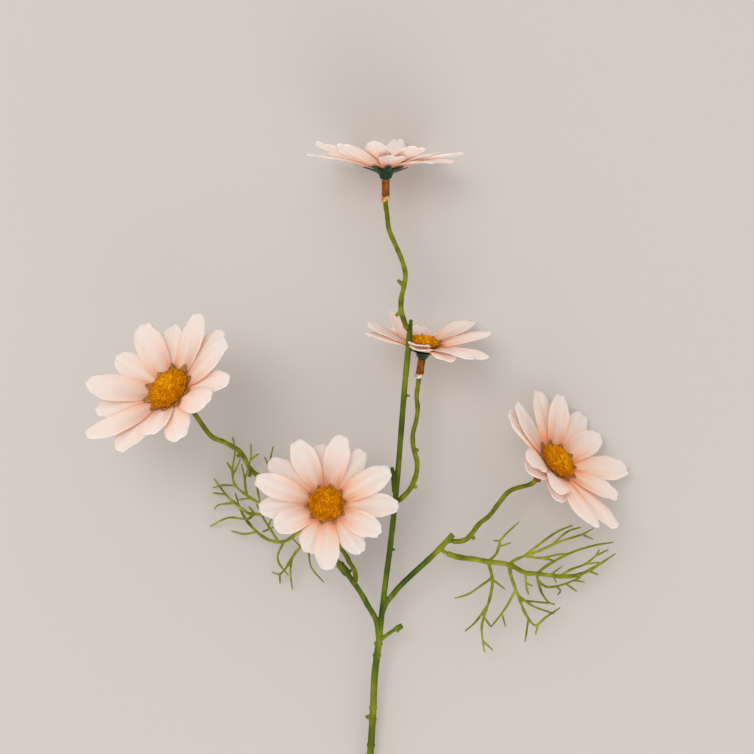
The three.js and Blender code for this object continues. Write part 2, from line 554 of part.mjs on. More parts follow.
frond('left_frond_near', {
  base: [-29.3, -76.4, 24.2], drop: 19, span: 30, rootGap: 2.8,
  twigs: [
    [0.9, 0.5, [0, 0], [-3.5, -2], [-7, -5], [-9.5, -7.5], [-11.5, -10.5], [-15.5, -17], [-18.5, -19.5], [-22, -18.5]],
    [0.6, 0.5, [-18, -19], [-18, -24.5]],
    [0.6, 0.5, [-11.5, -10.5], [-12.5, -17], [-12, -27.5]],
    [0.6, 0.5, [-3.5, -2], [-3, -11.5], [-2, -15.5], [3.5, -23]],
    [0.6, 0.5, [-7, -5], [-11.5, -0.5]],
  ],
});

// The spray lies on the surface, with its origin under the middle of its box.
spray.updateMatrixWorld(true);
const box = new THREE.Box3().setFromObject(spray, true);
const middle = box.getCenter(new THREE.Vector3());
spray.position.set(-middle.x, -middle.y, -box.min.z);

export default spray;
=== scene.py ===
# %% [markdown]
# # An artificial cosmos spray
# This is the sort of stem that fills a vase in a shop window: five fabric blooms
# on curly plastic stalks, with thread-leaved fronds, laid on its back. The plain
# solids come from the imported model, and this script dresses every one of them
# with a finer piece. Everything is drawn in millimetres and turned to metres at
# the very end, because a petal is easier to think of as 33 mm than as 0.033.

# %% Load the fixed frame
import random
from math import atan2, cos, exp, hypot, pi, radians, sin, sqrt

import bmesh
import bpy
from mathutils import Matrix, Vector, noise


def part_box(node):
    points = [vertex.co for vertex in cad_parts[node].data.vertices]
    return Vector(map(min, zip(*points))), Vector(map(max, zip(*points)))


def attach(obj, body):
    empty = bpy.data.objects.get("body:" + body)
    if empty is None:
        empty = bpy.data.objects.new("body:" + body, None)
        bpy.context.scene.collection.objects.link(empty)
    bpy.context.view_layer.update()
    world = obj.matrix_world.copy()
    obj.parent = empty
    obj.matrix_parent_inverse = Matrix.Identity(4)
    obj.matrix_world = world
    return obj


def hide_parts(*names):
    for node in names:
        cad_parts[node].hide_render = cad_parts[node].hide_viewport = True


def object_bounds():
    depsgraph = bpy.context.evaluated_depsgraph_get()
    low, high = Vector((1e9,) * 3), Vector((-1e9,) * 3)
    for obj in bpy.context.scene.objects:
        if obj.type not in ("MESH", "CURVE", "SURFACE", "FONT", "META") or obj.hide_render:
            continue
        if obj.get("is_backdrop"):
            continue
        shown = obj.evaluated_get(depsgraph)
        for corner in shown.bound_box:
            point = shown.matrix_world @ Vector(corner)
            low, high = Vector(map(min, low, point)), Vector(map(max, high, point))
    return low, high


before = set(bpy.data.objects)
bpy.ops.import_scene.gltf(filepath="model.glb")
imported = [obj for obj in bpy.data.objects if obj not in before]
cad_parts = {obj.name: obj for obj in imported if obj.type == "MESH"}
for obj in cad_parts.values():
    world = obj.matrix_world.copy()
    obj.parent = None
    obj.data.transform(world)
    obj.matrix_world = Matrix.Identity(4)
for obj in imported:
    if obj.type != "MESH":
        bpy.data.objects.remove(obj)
CAD_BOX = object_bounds()
MM = 0.001
print("solids to dress:", len(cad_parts))

# %% [markdown]
# ## Where things are
# A bloom is turned on its own axis, so its pieces are drawn lying flat at the
# origin, with +Z out of the flower's face, and one matrix then puts them in place.
# The list repeats the sizes of the solids: where a bloom sits, which way it
# looks, and for each petal its angle in degrees, its reach in millimetres, how
# steeply it lifts, and for a few how far it arches up half way. Only the dye is
# extra: how much further up the petals it ran, as a part of their length.

# %% The five blooms
BLOOMS = {
    "front": dict(
        at=(-23.1, -59.4, 47), axis=(-0.05, 0.25, 0.97), size=0.97, disc=7.5, spin=0.09, dye=0,
        front=[(116, 32, 12), (77, 32, 12), (26, 33, 14), (-30, 29, 15), (-88, 31, 14),
               (-154, 26, 15), (161, 34, 14)],
        back=[(142, 33, 5), (98, 28, 3), (57, 29.5, 4), (-2, 32.5, 7), (-54, 27, 6), (-112, 23, 4),
              (-177, 30.5, 8)]),
    "left": dict(
        at=(-92.1, -8, 59), axis=(-0.47, 0.53, 0.71), size=1.12, disc=9.8, spin=0.2, dye=0,
        front=[(167, 40.5, 22), (110, 38.5, 19), (58, 37, 18), (13, 37, 18), (-38, 36, 18),
               (-99, 28, 19), (-148, 42, 20)],
        back=[(138, 38.5, 13), (90, 35, 11), (38, 35.5, 10), (-14, 35, 12), (-72, 35, 13),
              (-128, 36, 13), (-178, 37, 13)]),
    "right": dict(
        at=(83, -42.4, 26.8), axis=(0.57, 0.57, 0.59), size=1.08, disc=8.7, spin=0.1, dye=0.09,
        front=[(155, 34.6, 19), (92, 36.5, 19), (46, 33, 18), (-20, 33, 16), (-74, 42, 16),
               (-108, 30, 20, 1.5), (-145, 32, 20, 1.5)],
        back=[(161, 34.2, 15), (107, 38.5, 12), (66, 40, 13), (15, 41.3, 14), (-46, 41, 12),
              (-99, 27, 13, 0.4), (-139, 30, 15.5, 1)]),
    "middle": dict(
        at=(21.8, 12.6, 30), axis=(0.13, 0.93, 0.35), size=0.9, disc=6.7, spin=0.41, dye=-0.04,
        front=[(97, 20, 12), (46, 34.5, 14), (12.6, 32, 17), (-47, 30, 11), (-103, 22, 22.5, 1.2),
               (155, 22.5, 35), (-178.5, 28.5, 18)],
        back=[(78, 22, 5), (32, 33, 9), (-22, 31.5, 8), (-58, 23, 9), (-99, 20, 19.5, 1),
              (126, 24, 7), (-172, 28, 12)]),
    "top": dict(
        at=(4.1, 97, 32.05), axis=(0, 0.998, 0.06), size=1.03, disc=8.4, spin=0.16, dye=-0.03,
        front=[(-156, 36, 17.5), (150, 34, 15), (80, 37, 27.5), (40, 34, 16), (-8, 36.5, 10.5),
               (-57, 30, 15.5), (-100, 30, 19)],
        back=[(-178, 37, 11.5), (115, 34, 13), (60, 34, 12), (20, 34, 9), (-32, 25, 7),
              (-80, 24, 13), (-128, 35, 16.5)]),
}
NECK_TOP, NECK_BOTTOM = -4.0, -11.6  # heights along a bloom's own axis
print("blooms:", ", ".join(BLOOMS))


# %% From the drawing's millimetres to the model's metres
def middle_of(node):
    """The middle of a solid's box, in millimetres."""
    low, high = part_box(node)
    return (Vector(low) + Vector(high)) / 2 / MM


def bloom_matrix(bloom):
    """Takes a bloom drawn flat at the origin, in millimetres, to its place in metres."""
    facing = Vector(bloom["axis"]).normalized()
    right = (Vector((1, 0, 0)) - facing * facing.x).normalized()
    turn = Matrix((right, facing.cross(right), facing)).transposed().to_4x4()
    return Matrix.Scale(MM, 4) @ Matrix.Translation(SHIFT + Vector(bloom["at"])) @ turn


# A neck tube is round, so the middle of its box lies on its bloom's axis.
first = BLOOMS["front"]
SHIFT = middle_of("front_neck") - Vector(first["axis"]).normalized() * (NECK_TOP + NECK_BOTTOM) / 2
SHIFT -= Vector(first["at"])
SPRAY_MATRIX = Matrix.Scale(MM, 4) @ Matrix.Translation(SHIFT)
print("the drawing's origin lies at", [round(v, 2) for v in SHIFT], "mm")

# %% [markdown]
# ## Camera
# The photograph was taken from straight in front of an upright stem. The spray
# now lies down, so the same view is had from straight above: the camera hangs
# 800 mm over the drawing's origin and looks down, with the stem running up the
# picture. A lens of 78 mm on a 36 mm sensor makes 1 mm at the blooms about 2
# pixels, as in the photograph.

# %% The camera over the spray
CAMERA_HEIGHT = 800
LENS, SENSOR = 77.8, 36
NEAREST, FURTHEST = 0.01, 20  # what the camera sees, in metres
camera_data = bpy.data.cameras.new("camera")
camera_data.lens = LENS
camera_data.sensor_width = SENSOR
camera_data.clip_start, camera_data.clip_end = NEAREST, FURTHEST
camera = bpy.data.objects.new("camera", camera_data)
camera.location = (SHIFT + Vector((0, 0, CAMERA_HEIGHT))) * MM
bpy.context.collection.objects.link(camera)
bpy.context.scene.camera = camera
print("camera at", [round(v, 3) for v in camera.location], "m")

# %% [markdown]
# ## Helpers for colours and nodes
# Blender mixes light in linear colour, while a colour given in hex is sRGB, so
# one function turns a hex value to linear. Another adds a shader node, sets its
# values and joins it up, which keeps each material short enough to read. Patterns
# run on Object coordinates, in metres, so two more turn a size in millimetres to
# the scale that a texture needs.


# %% Colours and scales
def linear(code):
    """An sRGB hex colour such as 'ead2c4' as the linear colour that a shader reads."""
    shades = [int(code[i:i + 2], 16) / 255 for i in (0, 2, 4)]
    bent = [s / 12.92 if s <= 0.04045 else ((s + 0.055) / 1.055) ** 2.4 for s in shades]
    return (*bent, 1)


def per_mm(millimetres):
    """The scale that makes a pattern on Object coordinates repeat about every so many mm."""
    return 1 / (millimetres * MM)


def band_scale(millimetres):
    """The scale that puts a Wave texture's bands so many mm apart; it turns 20 radians a unit."""
    return per_mm(millimetres) * 2 * pi / 20


print("a grey of 50% on the screen is", round(linear("808080")[0], 3), "in linear colour")


# %% Shader nodes
def tune(node, **values):
    """Sets a node's properties, or the values of its sockets, by name."""
    for name, value in values.items():
        if hasattr(node, name):
            setattr(node, name, value)
        else:
            node.inputs[name.replace("_", " ")].default_value = value
    return node


def add(tree, kind, inputs=(), **values):
    """Adds a node and tunes it; inputs gives a socket its number or the socket that feeds it."""
    node = tune(tree.nodes.new("ShaderNode" + kind), **values)
    for socket, source in dict(inputs).items():
        if isinstance(source, (int, float)):
            node.inputs[socket].default_value = source
        else:
            tree.links.new(source, node.inputs[socket])
    return node


def colour_by(tree, shader, source, stops):
    """Colours the surface by a pattern: stops are (value of the pattern, hex colour)."""
    node = add(tree, "ValToRGB", {"Fac": source})
    while len(node.color_ramp.elements) < len(stops):
        node.color_ramp.elements.new(0.5)
    for element, (place, code) in zip(node.color_ramp.elements, stops):
        element.position = place
        element.color = linear(code)
    tree.links.new(node.outputs["Color"], shader.inputs["Base Color"])


def new_material(name, **values):
    """A material, its tree and its Principled shader, which gets the values."""
    made = bpy.data.materials.new(name)
    made.use_nodes = True
    print("material:", name)
    return made, made.node_tree, tune(made.node_tree.nodes["Principled BSDF"], **values)


def bump(tree, shader, height, distance_mm, strength=1.0):
    """Raises the surface by a pattern, so that its relief is so many millimetres."""
    node = add(tree, "Bump", {"Height": height}, Strength=strength, Distance=distance_mm * MM)
    tree.links.new(node.outputs["Normal"], shader.inputs["Normal"])


print("materials so far:", len(bpy.data.materials))

# %% [markdown]
# ## Petal fabric
# The petals are die-cut from thin polyester and heat-pressed, and the dye was run
# in from the middle: peach at the base, fading to a blush white at the tip. It ran
# further up some threads than others. Along each petal's edges a deeper peach is
# painted as painted shade, which shows as deeper rays between the petals. Light
# comes through them, which a little subsurface scattering gives. Each petal carries
# a UV map of its own, with U across it and V from root to tip, so that the fade and
# the fine pleats follow the petal whichever way it is bent.

# %% Heat-pressed polyester
THREAD_PITCH = 0.45  # the threads are about 0.3 mm apart, drawn wider to show in a close view


def petal_fabric():
    made, tree, shader = new_material(
        "heat_pressed_polyester", Roughness=0.78, Specular_IOR_Level=0.15, Sheen_Weight=0.12,
        Sheen_Roughness=0.5, Subsurface_Weight=0.85, Subsurface_Radius=(1.0, 0.7, 0.55),
        Subsurface_Scale=2.6 * MM)
    uv = add(tree, "UVMap", uv_map="petal").outputs["UV"]
    split = add(tree, "SeparateXYZ", {"Vector": uv})
    streaks = add(tree, "Mapping", {"Vector": uv}, Scale=(9, 1.1, 1))
    dye = add(tree, "TexNoise", {"Vector": streaks.outputs["Vector"]}, Scale=1.0, Detail=3.0)
    drift = add(tree, "Math", {0: dye.outputs["Fac"], 1: 0.36, 2: -0.31}, operation="MULTIPLY_ADD")
    # U runs from 0 to 1 over a petal, so this is 0 at both its edges and 0.5 in the middle; the low
    # values at the edges paint a deeper peach there, as painted shade
    from_shaded_edge = add(tree, "Math", {0: split.outputs["X"], 1: 0.5}, operation="PINGPONG")
    # painted shade between the petals at the edges, added to the dye's random streaks
    dye_and_edge_shade = add(tree, "Math", {0: from_shaded_edge.outputs[0], 1: 0.46, 2: drift.outputs[0]},
                 operation="MULTIPLY_ADD")
    reach = add(tree, "Math", {0: split.outputs["Y"], 1: dye_and_edge_shade.outputs[0]}, operation="ADD")
    colour_by(tree, shader, reach.outputs[0], [
        (0.0, "f88b64"), (0.1, "f99f7f"), (0.24, "f7b39b"), (0.45, "f2c3b5"), (0.72, "eeccc1"),
        (1.0, "ebcfc7")])
    place = add(tree, "TexCoord").outputs["Object"]
    warp, weft = (add(tree, "TexWave", {"Vector": place}, wave_type="BANDS", bands_direction=way,
                      Scale=band_scale(THREAD_PITCH), Distortion=0.6) for way in "XY")
    weave = add(tree, "Math", {0: warp.outputs["Fac"], 1: weft.outputs["Fac"]},
                operation="MULTIPLY")
    pleats = add(tree, "Math", {0: dye.outputs["Fac"], 1: 3.0, 2: weave.outputs[0]},
                 operation="MULTIPLY_ADD")
    bump(tree, shader, pleats.outputs[0], 0.12, 0.6)
    return made


PETAL_FABRIC = petal_fabric()

# %% [markdown]
# ## Moulded plastic
# The stem, stalks, fronds, sepals and necks are injection-moulded polyethylene:
# slightly waxy, with satin highlights, and each a little uneven in colour because
# the pigment isn't fully mixed and the makers tint it by hand. One function makes
# them all from a dark, a middle and a light colour, with the size of the clouds.
# The colour can also grow lighter towards the right: painted light, as on the stem's brighter right
# branch.

# %% Moulded polyethylene
GRAIN, GRAIN_RELIEF = 0.5, 0.04
# the painted light grows from nothing to full between these distances
LIGHT_PAINT_FROM, LIGHT_PAINT_TO = 22, 38  # millimetres to the right of the model's origin


def moulded(name, colours, cloud_mm, roughness=0.42, stretch=(1, 1, 1), painted_light=0.0):
    made, tree, shader = new_material(name, Specular_IOR_Level=0.14)
    place = add(tree, "TexCoord").outputs["Object"]
    along = add(tree, "Mapping", {"Vector": place}, Scale=stretch)
    cloud = add(tree, "TexNoise", {"Vector": along.outputs["Vector"]},
                Scale=per_mm(cloud_mm), Detail=4.0, Roughness=0.6)
    split = add(tree, "SeparateXYZ", {"Vector": place})
    # painted light: the colour grows lighter towards the right
    painted_light_ramp = add(tree, "MapRange", {"Value": split.outputs["X"]}, From_Min=LIGHT_PAINT_FROM * MM,
               From_Max=LIGHT_PAINT_TO * MM, To_Max=painted_light)
    mixed = add(tree, "Math", {0: cloud.outputs["Fac"], 1: painted_light_ramp.outputs[0]}, operation="ADD")
    colour_by(tree, shader, mixed.outputs[0], list(zip((0.32, 0.5, 0.7), colours)))
    grain = add(tree, "TexNoise", {"Vector": place}, Scale=per_mm(GRAIN), Detail=2.0)
    gloss = add(tree, "MapRange", {"Value": grain.outputs["Fac"]}, To_Min=roughness - 0.08,
                To_Max=roughness + 0.1)
    tree.links.new(gloss.outputs[0], shader.inputs["Roughness"])
    bump(tree, shader, grain.outputs["Fac"], GRAIN_RELIEF, 0.7)
    return made


# the stem gets painted light towards its right branch
STEM_GREEN = moulded("moulded_green_polyethylene", ("2a3a02", "4a5a02", "7a8012"), 9,
                     stretch=(1, 0.35, 1), painted_light=0.2)
STALK_OLIVE = moulded("moulded_olive_polyethylene", ("484c02", "666c02", "868812"), 6)
FROND_GREEN = moulded("moulded_yellow_green_polyethylene", ("585a02", "787c10", "9a9632"), 7)
SEPAL_GREEN = moulded("moulded_dark_green_polyethylene", ("0f2216", "1a3624", "325242"), 3.5,
                      roughness=0.36)
NECK_BROWN = moulded("moulded_brown_polyethylene", ("502202", "7a4004", "a2680a"), 2.2,
                     roughness=0.36, stretch=(2.4, 0.5, 1))
BRACT_BROWN = moulded("painted_brown_bract", ("6e441a", "946330", "b88852"), 1.6, roughness=0.6)

# %% [markdown]
# ## Flocked florets and hot glue
# The yellow centre is a cushion of tiny florets dusted with ochre flock, so it has
# no shine at all, and every grain differs a little: each floret carries a shade of
# its own in a mesh attribute, which the material reads. The glue that shows under
# two necks is hot-melt: clear, glossy and full of milky clouds.


# %% Ochre flock
def ochre_flock():
    made, tree, shader = new_material("ochre_flock", Roughness=0.9, Specular_IOR_Level=0.05)
    shade = add(tree, "Attribute", attribute_name="shade")
    colour_by(tree, shader, shade.outputs["Fac"], [
        (0.0, "8e4a00"), (0.3, "ba6e02"), (0.6, "da8c02"), (0.85, "eea608"), (1.0, "f8c834")])
    place = add(tree, "TexCoord").outputs["Object"]
    fibres = add(tree, "TexNoise", {"Vector": place}, Scale=per_mm(0.25), Detail=2.0)
    bump(tree, shader, fibres.outputs["Fac"], 0.06, 0.8)
    return made


OCHRE_FLOCK = ochre_flock()


# %% Hot-melt glue
def hot_glue(name, colours):
    made, tree, shader = new_material(
        name, Roughness=0.18, IOR=1.48, Coat_Weight=0.4, Subsurface_Weight=0.4,
        Subsurface_Radius=(1, 0.8, 0.5), Subsurface_Scale=1.0 * MM)
    place = add(tree, "TexCoord").outputs["Object"]
    cloud = add(tree, "TexNoise", {"Vector": place}, Scale=per_mm(1.8), Detail=2.0)
    colour_by(tree, shader, cloud.outputs["Fac"], list(zip((0.35, 0.65), colours)))
    return made


AMBER_GLUE = hot_glue("amber_hot_glue", ("b06c10", "d9a43a"))
CREAM_GLUE = hot_glue("cream_hot_glue", ("b9ab8e", "e4dccb"))

# %% [markdown]
# ## Turning a drawing into a piece
# A piece is drawn in a bmesh, moved to its place, smoothed and hung on the model.
# Its object stays at the origin and its place is in the mesh, as with the solids.
# Each piece says which solid it stands for, and the script prints how many faces
# it got.


# %% Finishing a piece
def new_object(name, data):
    """An object at the origin, in the scene."""
    made = bpy.data.objects.new(name, data)
    bpy.context.collection.objects.link(made)
    return made


def mesh_object(name, drawing):
    """Turns a bmesh into an object and frees it."""
    mesh = bpy.data.meshes.new(name)
    drawing.to_mesh(mesh)
    drawing.free()
    return new_object(name, mesh)


def finish_piece(name, drawing, matrix, material, slot, node, thickness_mm=0.0):
    """Puts a bmesh, drawn in millimetres, on the model in place of a solid."""
    bmesh.ops.transform(drawing, matrix=matrix, verts=drawing.verts)
    for face in drawing.faces:
        face.smooth = True
    piece = mesh_object(name, drawing)
    piece.data.materials.append(material)
    if thickness_mm:
        shell = piece.modifiers.new("thickness", "SOLIDIFY")
        shell.thickness = thickness_mm * MM
        shell.offset = 0
    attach(piece, "root")
    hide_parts(node)
    print(f"{name}: {len(piece.data.polygons)} faces")


# %% [markdown]
# ## Petals
# A bloom has two sheets of seven petals, one over the other, each die-cut from one
# piece of fabric. All its layers share one shallow cone as far as 9 mm out, and
# from there each petal goes its own way. A petal starts as a flat grid that is bent
# by a formula: it fans out from its share of the ring, is widest past the middle,
# and is rounded and faintly notched at the tip. Pressed pleats run along it, the
# sides cup, and each petal gets its own small twist and ripple from a seeded draw,
# because no two pressed petals come out alike. Neighbours share the corners of
# their roots, which are merged, and the ring is then extruded in to the middle.

# %% The cone that all layers of a bloom share
PIN_HOLE = 1.2  # its radius
CONE_END = 9
CONE_SLOPE, LEVELLING = 0.33, 13  # past its end the cone levels off over about so many mm


def cup(radius):
    """The height that every layer of a bloom shares at a radius."""
    cone = CONE_SLOPE * (min(radius, CONE_END) - PIN_HOLE)
    out = max(0.0, radius - CONE_END)
    return cone + CONE_SLOPE * LEVELLING * (1 - exp(-out / LEVELLING))


def polar(radius, turn, height, side=0.0):
    """A point so far out along a turn round the axis, moved to the side, at a height."""
    return Vector((radius * cos(turn) - side * sin(turn),
                   radius * sin(turn) + side * cos(turn), height))


print("the cone is", round(cup(CONE_END), 2), "mm high at its end")

# %% The shape of a petal
RING = 8.5  # the roots of a sheet's petals meet on this radius
PETAL_HALF_WIDTH = 5.75
OUTLINE = [(0, 0.72), (0.15, 0.75), (0.35, 0.89), (0.6, 1.02), (0.8, 1.05), (0.92, 0.99), (1, 0.84)]
ROOT_END = 0.3  # by this part of its length a petal has its own width
TIP_ROUND, TIP_POWER = 0.15, 3.2  # how much shorter it is at its sides, and how suddenly
LIFT_POWER = 1.6  # above 1, it lifts the steeper the further out
CURL_MIDDLE = 0.4  # the middle sinks by this part of the curl, and the sides rise by the rest
PLEAT_ROOT = 0.3  # how much of their depth the pleats have at the ring
RIPPLE, RIPPLES = 0.5, 7
RELIEF = 0.8  # how strongly curl, twist and ripple show


def blend(stops, place):
    """The value at a place on a short list of (place, value), with straight lines between them."""
    for (a, low), (b, high) in zip(stops, stops[1:]):
        if place <= b:
            part = max(0.0, (place - a) / (b - a))
            return low + (high - low) * part
    return stops[-1][1]


def shares(petals):
    """For each petal, how far its share of the ring reaches to its right and to its left."""
    angles = [shape[0] for shape in petals]
    found = []
    for angle in angles:
        gaps = sorted((other - angle) % 360 for other in angles if other != angle)
        found.append((-radians(360 - gaps[-1]) / 2, radians(gaps[0]) / 2))
    return found


def petal_point(across, along, shape, share, level, width, draw):
    """A point on a petal's middle sheet; across runs from -1 to 1 and along from 0 to 1."""
    angle, reach, lift, *arch = shape
    bow = arch[0] if arch else 0
    flat = reach * cos(radians(lift))
    rise = reach * sin(radians(lift)) - cup(flat)
    right, left = share
    root_turn = right + (left - right) * (across + 1) / 2
    root_out, root_side = RING * cos(root_turn), RING * sin(root_turn)
    notch = draw["notch"] * cos(draw["teeth"] * pi * across + draw["phase"])
    tip = flat * (draw["length"] - TIP_ROUND * abs(across) ** TIP_POWER) + notch
    radius = root_out + (tip - root_out) * along
    free = max(0.0, (radius - CONE_END) / (flat - CONE_END))
    leave = min(1.0, along / ROOT_END)
    leave = leave * leave * (3 - 2 * leave)
    side = root_side + (across * width * draw["width"] * blend(OUTLINE, along) - root_side) * leave
    pleat = draw["pleat"] * sin(draw["pleats"] * pi * across + draw["phase"]) * leave
    cupping = draw["curl"] * free * (across ** 2 - CURL_MIDDLE)
    twist = draw["twist"] * free * across
    wave = sin(RIPPLES * along + draw["phase"] * (2 + across))
    ripple = RIPPLE * free * abs(across) ** 3 * wave
    height = cup(hypot(radius, side) if free == 0 else radius) + level + rise * free ** LIFT_POWER
    height += bow * sin(pi * min(1, free))
    height = height + (cupping + twist + ripple) * RELIEF + pleat * min(1, PLEAT_ROOT + free)
    return polar(radius, radians(angle), height, side)


print("a petal's widest place:", max(OUTLINE, key=lambda stop: stop[1])[0], "of its length")

# %% From grid to petal sheet
ACROSS, ALONG = 14, 28
INNER_RINGS = (6, 3.5, PIN_HOLE)
ROOT_GAP = 0.02  # roots closer than this are the same point


def bent_grid(drawing, columns, rows, place):
    """A flat grid bent by place(across, along): across is -1 to 1, along is 0 to 1."""
    grid = bmesh.ops.create_grid(drawing, x_segments=columns, y_segments=rows, size=1)
    flat = {vert: (vert.co.x, (vert.co.y + 1) / 2) for vert in grid["verts"]}
    for vert, (across, along) in flat.items():
        vert.co = place(across, along)
    return flat


def add_petal(drawing, uv_layer, order, dye, bend):
    """Adds one petal; its UV runs across and along, in a strip of its own for each petal."""
    flat = bent_grid(drawing, ACROSS, ALONG, bend)
    for face in {face for vert in flat for face in vert.link_faces}:
        for loop in face.loops:
            across, along = flat[loop.vert]
            loop[uv_layer].uv = (order + 0.5 + 0.5 * across, along - dye)


def lowest_tip(matrix, bend):
    """How high the lowest point of a petal's tip lies over the surface, in metres."""
    return min((matrix @ bend(step / 4, 1)).z for step in range(-4, 5))


def close_ring(drawing, level):
    """Merges the petals' roots to one ring and extrudes it to the hole for the pin."""
    bmesh.ops.remove_doubles(drawing, verts=drawing.verts, dist=ROOT_GAP)
    ring = [e for e in drawing.edges if e.is_boundary
            and all(hypot(v.co.x, v.co.y) < RING + 0.05 for v in e.verts)]
    for radius in INNER_RINGS:
        made = bmesh.ops.extrude_edge_only(drawing, edges=ring)["geom"]
        ring = [part for part in made if isinstance(part, bmesh.types.BMEdge)]
        for vert in {v for e in ring for v in e.verts}:
            out = Vector((vert.co.x, vert.co.y, 0)).normalized() * radius
            vert.co = Vector((out.x, out.y, cup(radius) + level))
    bmesh.ops.recalc_face_normals(drawing, faces=drawing.faces)


print("a petal's grid:", ACROSS, "by", ALONG, "faces")

# %% Both petal sheets of every bloom
FABRIC_THICKNESS = 0.34
SHEETS = {"back": 0, "front": 1.0}  # how high each sheet lies over the cone
PETAL_LENGTH = 1.03  # along its middle; the rounded sides and the notches take some off again
TIP_CLEARANCE, TRIM = 0.25, 0.004
dice = random.Random(7)
for name, bloom in BLOOMS.items():
    matrix = bloom_matrix(bloom)
    width = PETAL_HALF_WIDTH * bloom["size"]
    for sheet, level in SHEETS.items():
        drawing = bmesh.new()
        uv_layer = drawing.loops.layers.uv.new("petal")
        for order, (shape, share) in enumerate(zip(bloom[sheet], shares(bloom[sheet]))):
            draw = dict(
                curl=(1.3 if order % 2 else -0.6) + dice.uniform(-0.5, 0.5),
                twist=dice.uniform(-0.7, 0.7), phase=dice.uniform(0, 2 * pi),
                pleats=dice.choice((1.8, 2.3, 2.9)), pleat=dice.uniform(0.2, 0.38),
                notch=dice.uniform(0.12, 0.42), teeth=dice.choice((2.2, 2.9, 3.7)),
                width=dice.uniform(0.94, 1.06), length=PETAL_LENGTH)
            if len(shape) > 3:
                # an arched petal was pressed smoother, with its sides curled up
                draw.update(curl=1.5, pleat=0.1, twist=0.2)

            def bend(across, along):
                return petal_point(across, along, shape, share, level, width, draw)

            while lowest_tip(matrix, bend) < TIP_CLEARANCE * MM:
                # a petal that would reach under the surface is cut a little shorter
                draw["length"] -= TRIM
            add_petal(drawing, uv_layer, order, bloom["dye"], bend)
        close_ring(drawing, level)
        finish_piece(f"{name}_{sheet}_petal_sheet", drawing, matrix, PETAL_FABRIC,
                     "petal_fabric", f"{name}_petals_{sheet}", FABRIC_THICKNESS)

# %% [markdown]
# ## The ochre centre
# The centre is a low dome, covered with florets in the spiral that a real daisy
# has: each next floret is turned by the golden angle and stands a little further
# out, which packs them evenly. The dome itself is a profile spun round the axis.
# A floret is a ball of only twenty faces, stretched along the dome's own slope,
# because there are several hundred of them on each bloom.

# %% The dome under the florets
DISC_LEVEL = 1.95  # how high its underside lies over the cone
RIM_HEIGHT = 0.9
DOME_RISE, DOME_TOP = 0.5, 0.35  # its height grows by half its radius
DOME_POWER = 3.2  # it is flat in the middle and falls steeply at the rim
DOME_STEPS, SPIN_STEPS = 12, 40
PIN_RADIUS, PIN_END = 0.8, -2.4


def spun(drawing, profile):
    """Spins a profile of (radius, height) round the axis; it closes on the axis or on itself."""
    verts = [drawing.verts.new((r, 0, z)) for r, z in profile]
    edges = [drawing.edges.new(pair) for pair in zip(verts, verts[1:])]
    bmesh.ops.spin(drawing, geom=verts + edges, axis=(0, 0, 1), cent=(0, 0, 0), angle=2 * pi,
                   steps=SPIN_STEPS, use_merge=True)
    bmesh.ops.remove_doubles(drawing, verts=drawing.verts, dist=1e-4)
    bmesh.ops.recalc_face_normals(drawing, faces=drawing.faces)


def dome_height(part, radius):
    """Height of the centre's dome at a part of its radius."""
    rim = cup(radius) + DISC_LEVEL + RIM_HEIGHT
    top = DISC_LEVEL + DOME_RISE * radius + DOME_TOP
    return rim + (top - rim) * (1 - part ** DOME_POWER)


def add_dome(drawing, radius):
    """The dome, its flat underside and the pin that holds the bloom together."""
    dome = [(radius * 0.96 * i / DOME_STEPS, dome_height(i / DOME_STEPS, radius))
            for i in range(DOME_STEPS + 1)]
    inner = 0.85 * radius
    under = [(radius * 0.97, cup(radius) + DISC_LEVEL + 0.5), (inner, cup(inner) + DISC_LEVEL),
             (PIN_RADIUS, DISC_LEVEL), (PIN_RADIUS, PIN_END), (0, PIN_END)]
    spun(drawing, dome + under)


print("the front dome's top:", round(dome_height(0, BLOOMS["front"]["disc"]), 1), "mm on its axis")

# %% Florets in a spiral
GOLDEN_ANGLE = radians(137.508)
FLORET_PITCH = 0.78
FLORET_WIDTH, FLORET_LENGTH = 0.52, 0.85  # half of each, in pitches
FLORET_CROWD = 0.86  # how many fit in an even spiral, as a part of the area
# the dome between the florets is painted dark, as painted shade in the gaps
GAP_PAINTED_SHADE, FLORET_SHADE = 0.12, 0.66
# darker at the rim as painted shade, and in patches of random tone
RIM_PAINTED_SHADE, PATCH_SHADE = 0.3, 0.35  # how much darker at the rim and in patches
UP = Vector((0, 0, 1))


def add_floret(drawing, shade_layer, place, slope, size, shade):
    """One grain of the centre, stretched out of the dome."""
    stretch = Matrix.Diagonal((size * FLORET_WIDTH, size * FLORET_WIDTH, size * FLORET_LENGTH, 1))
    turn = slope.to_track_quat("Z", "Y").to_matrix().to_4x4()
    ball = bmesh.ops.create_icosphere(drawing, subdivisions=1, radius=1,
                                      matrix=Matrix.Translation(place) @ turn @ stretch)
    for vert in ball["verts"]:
        vert[shade_layer] = shade


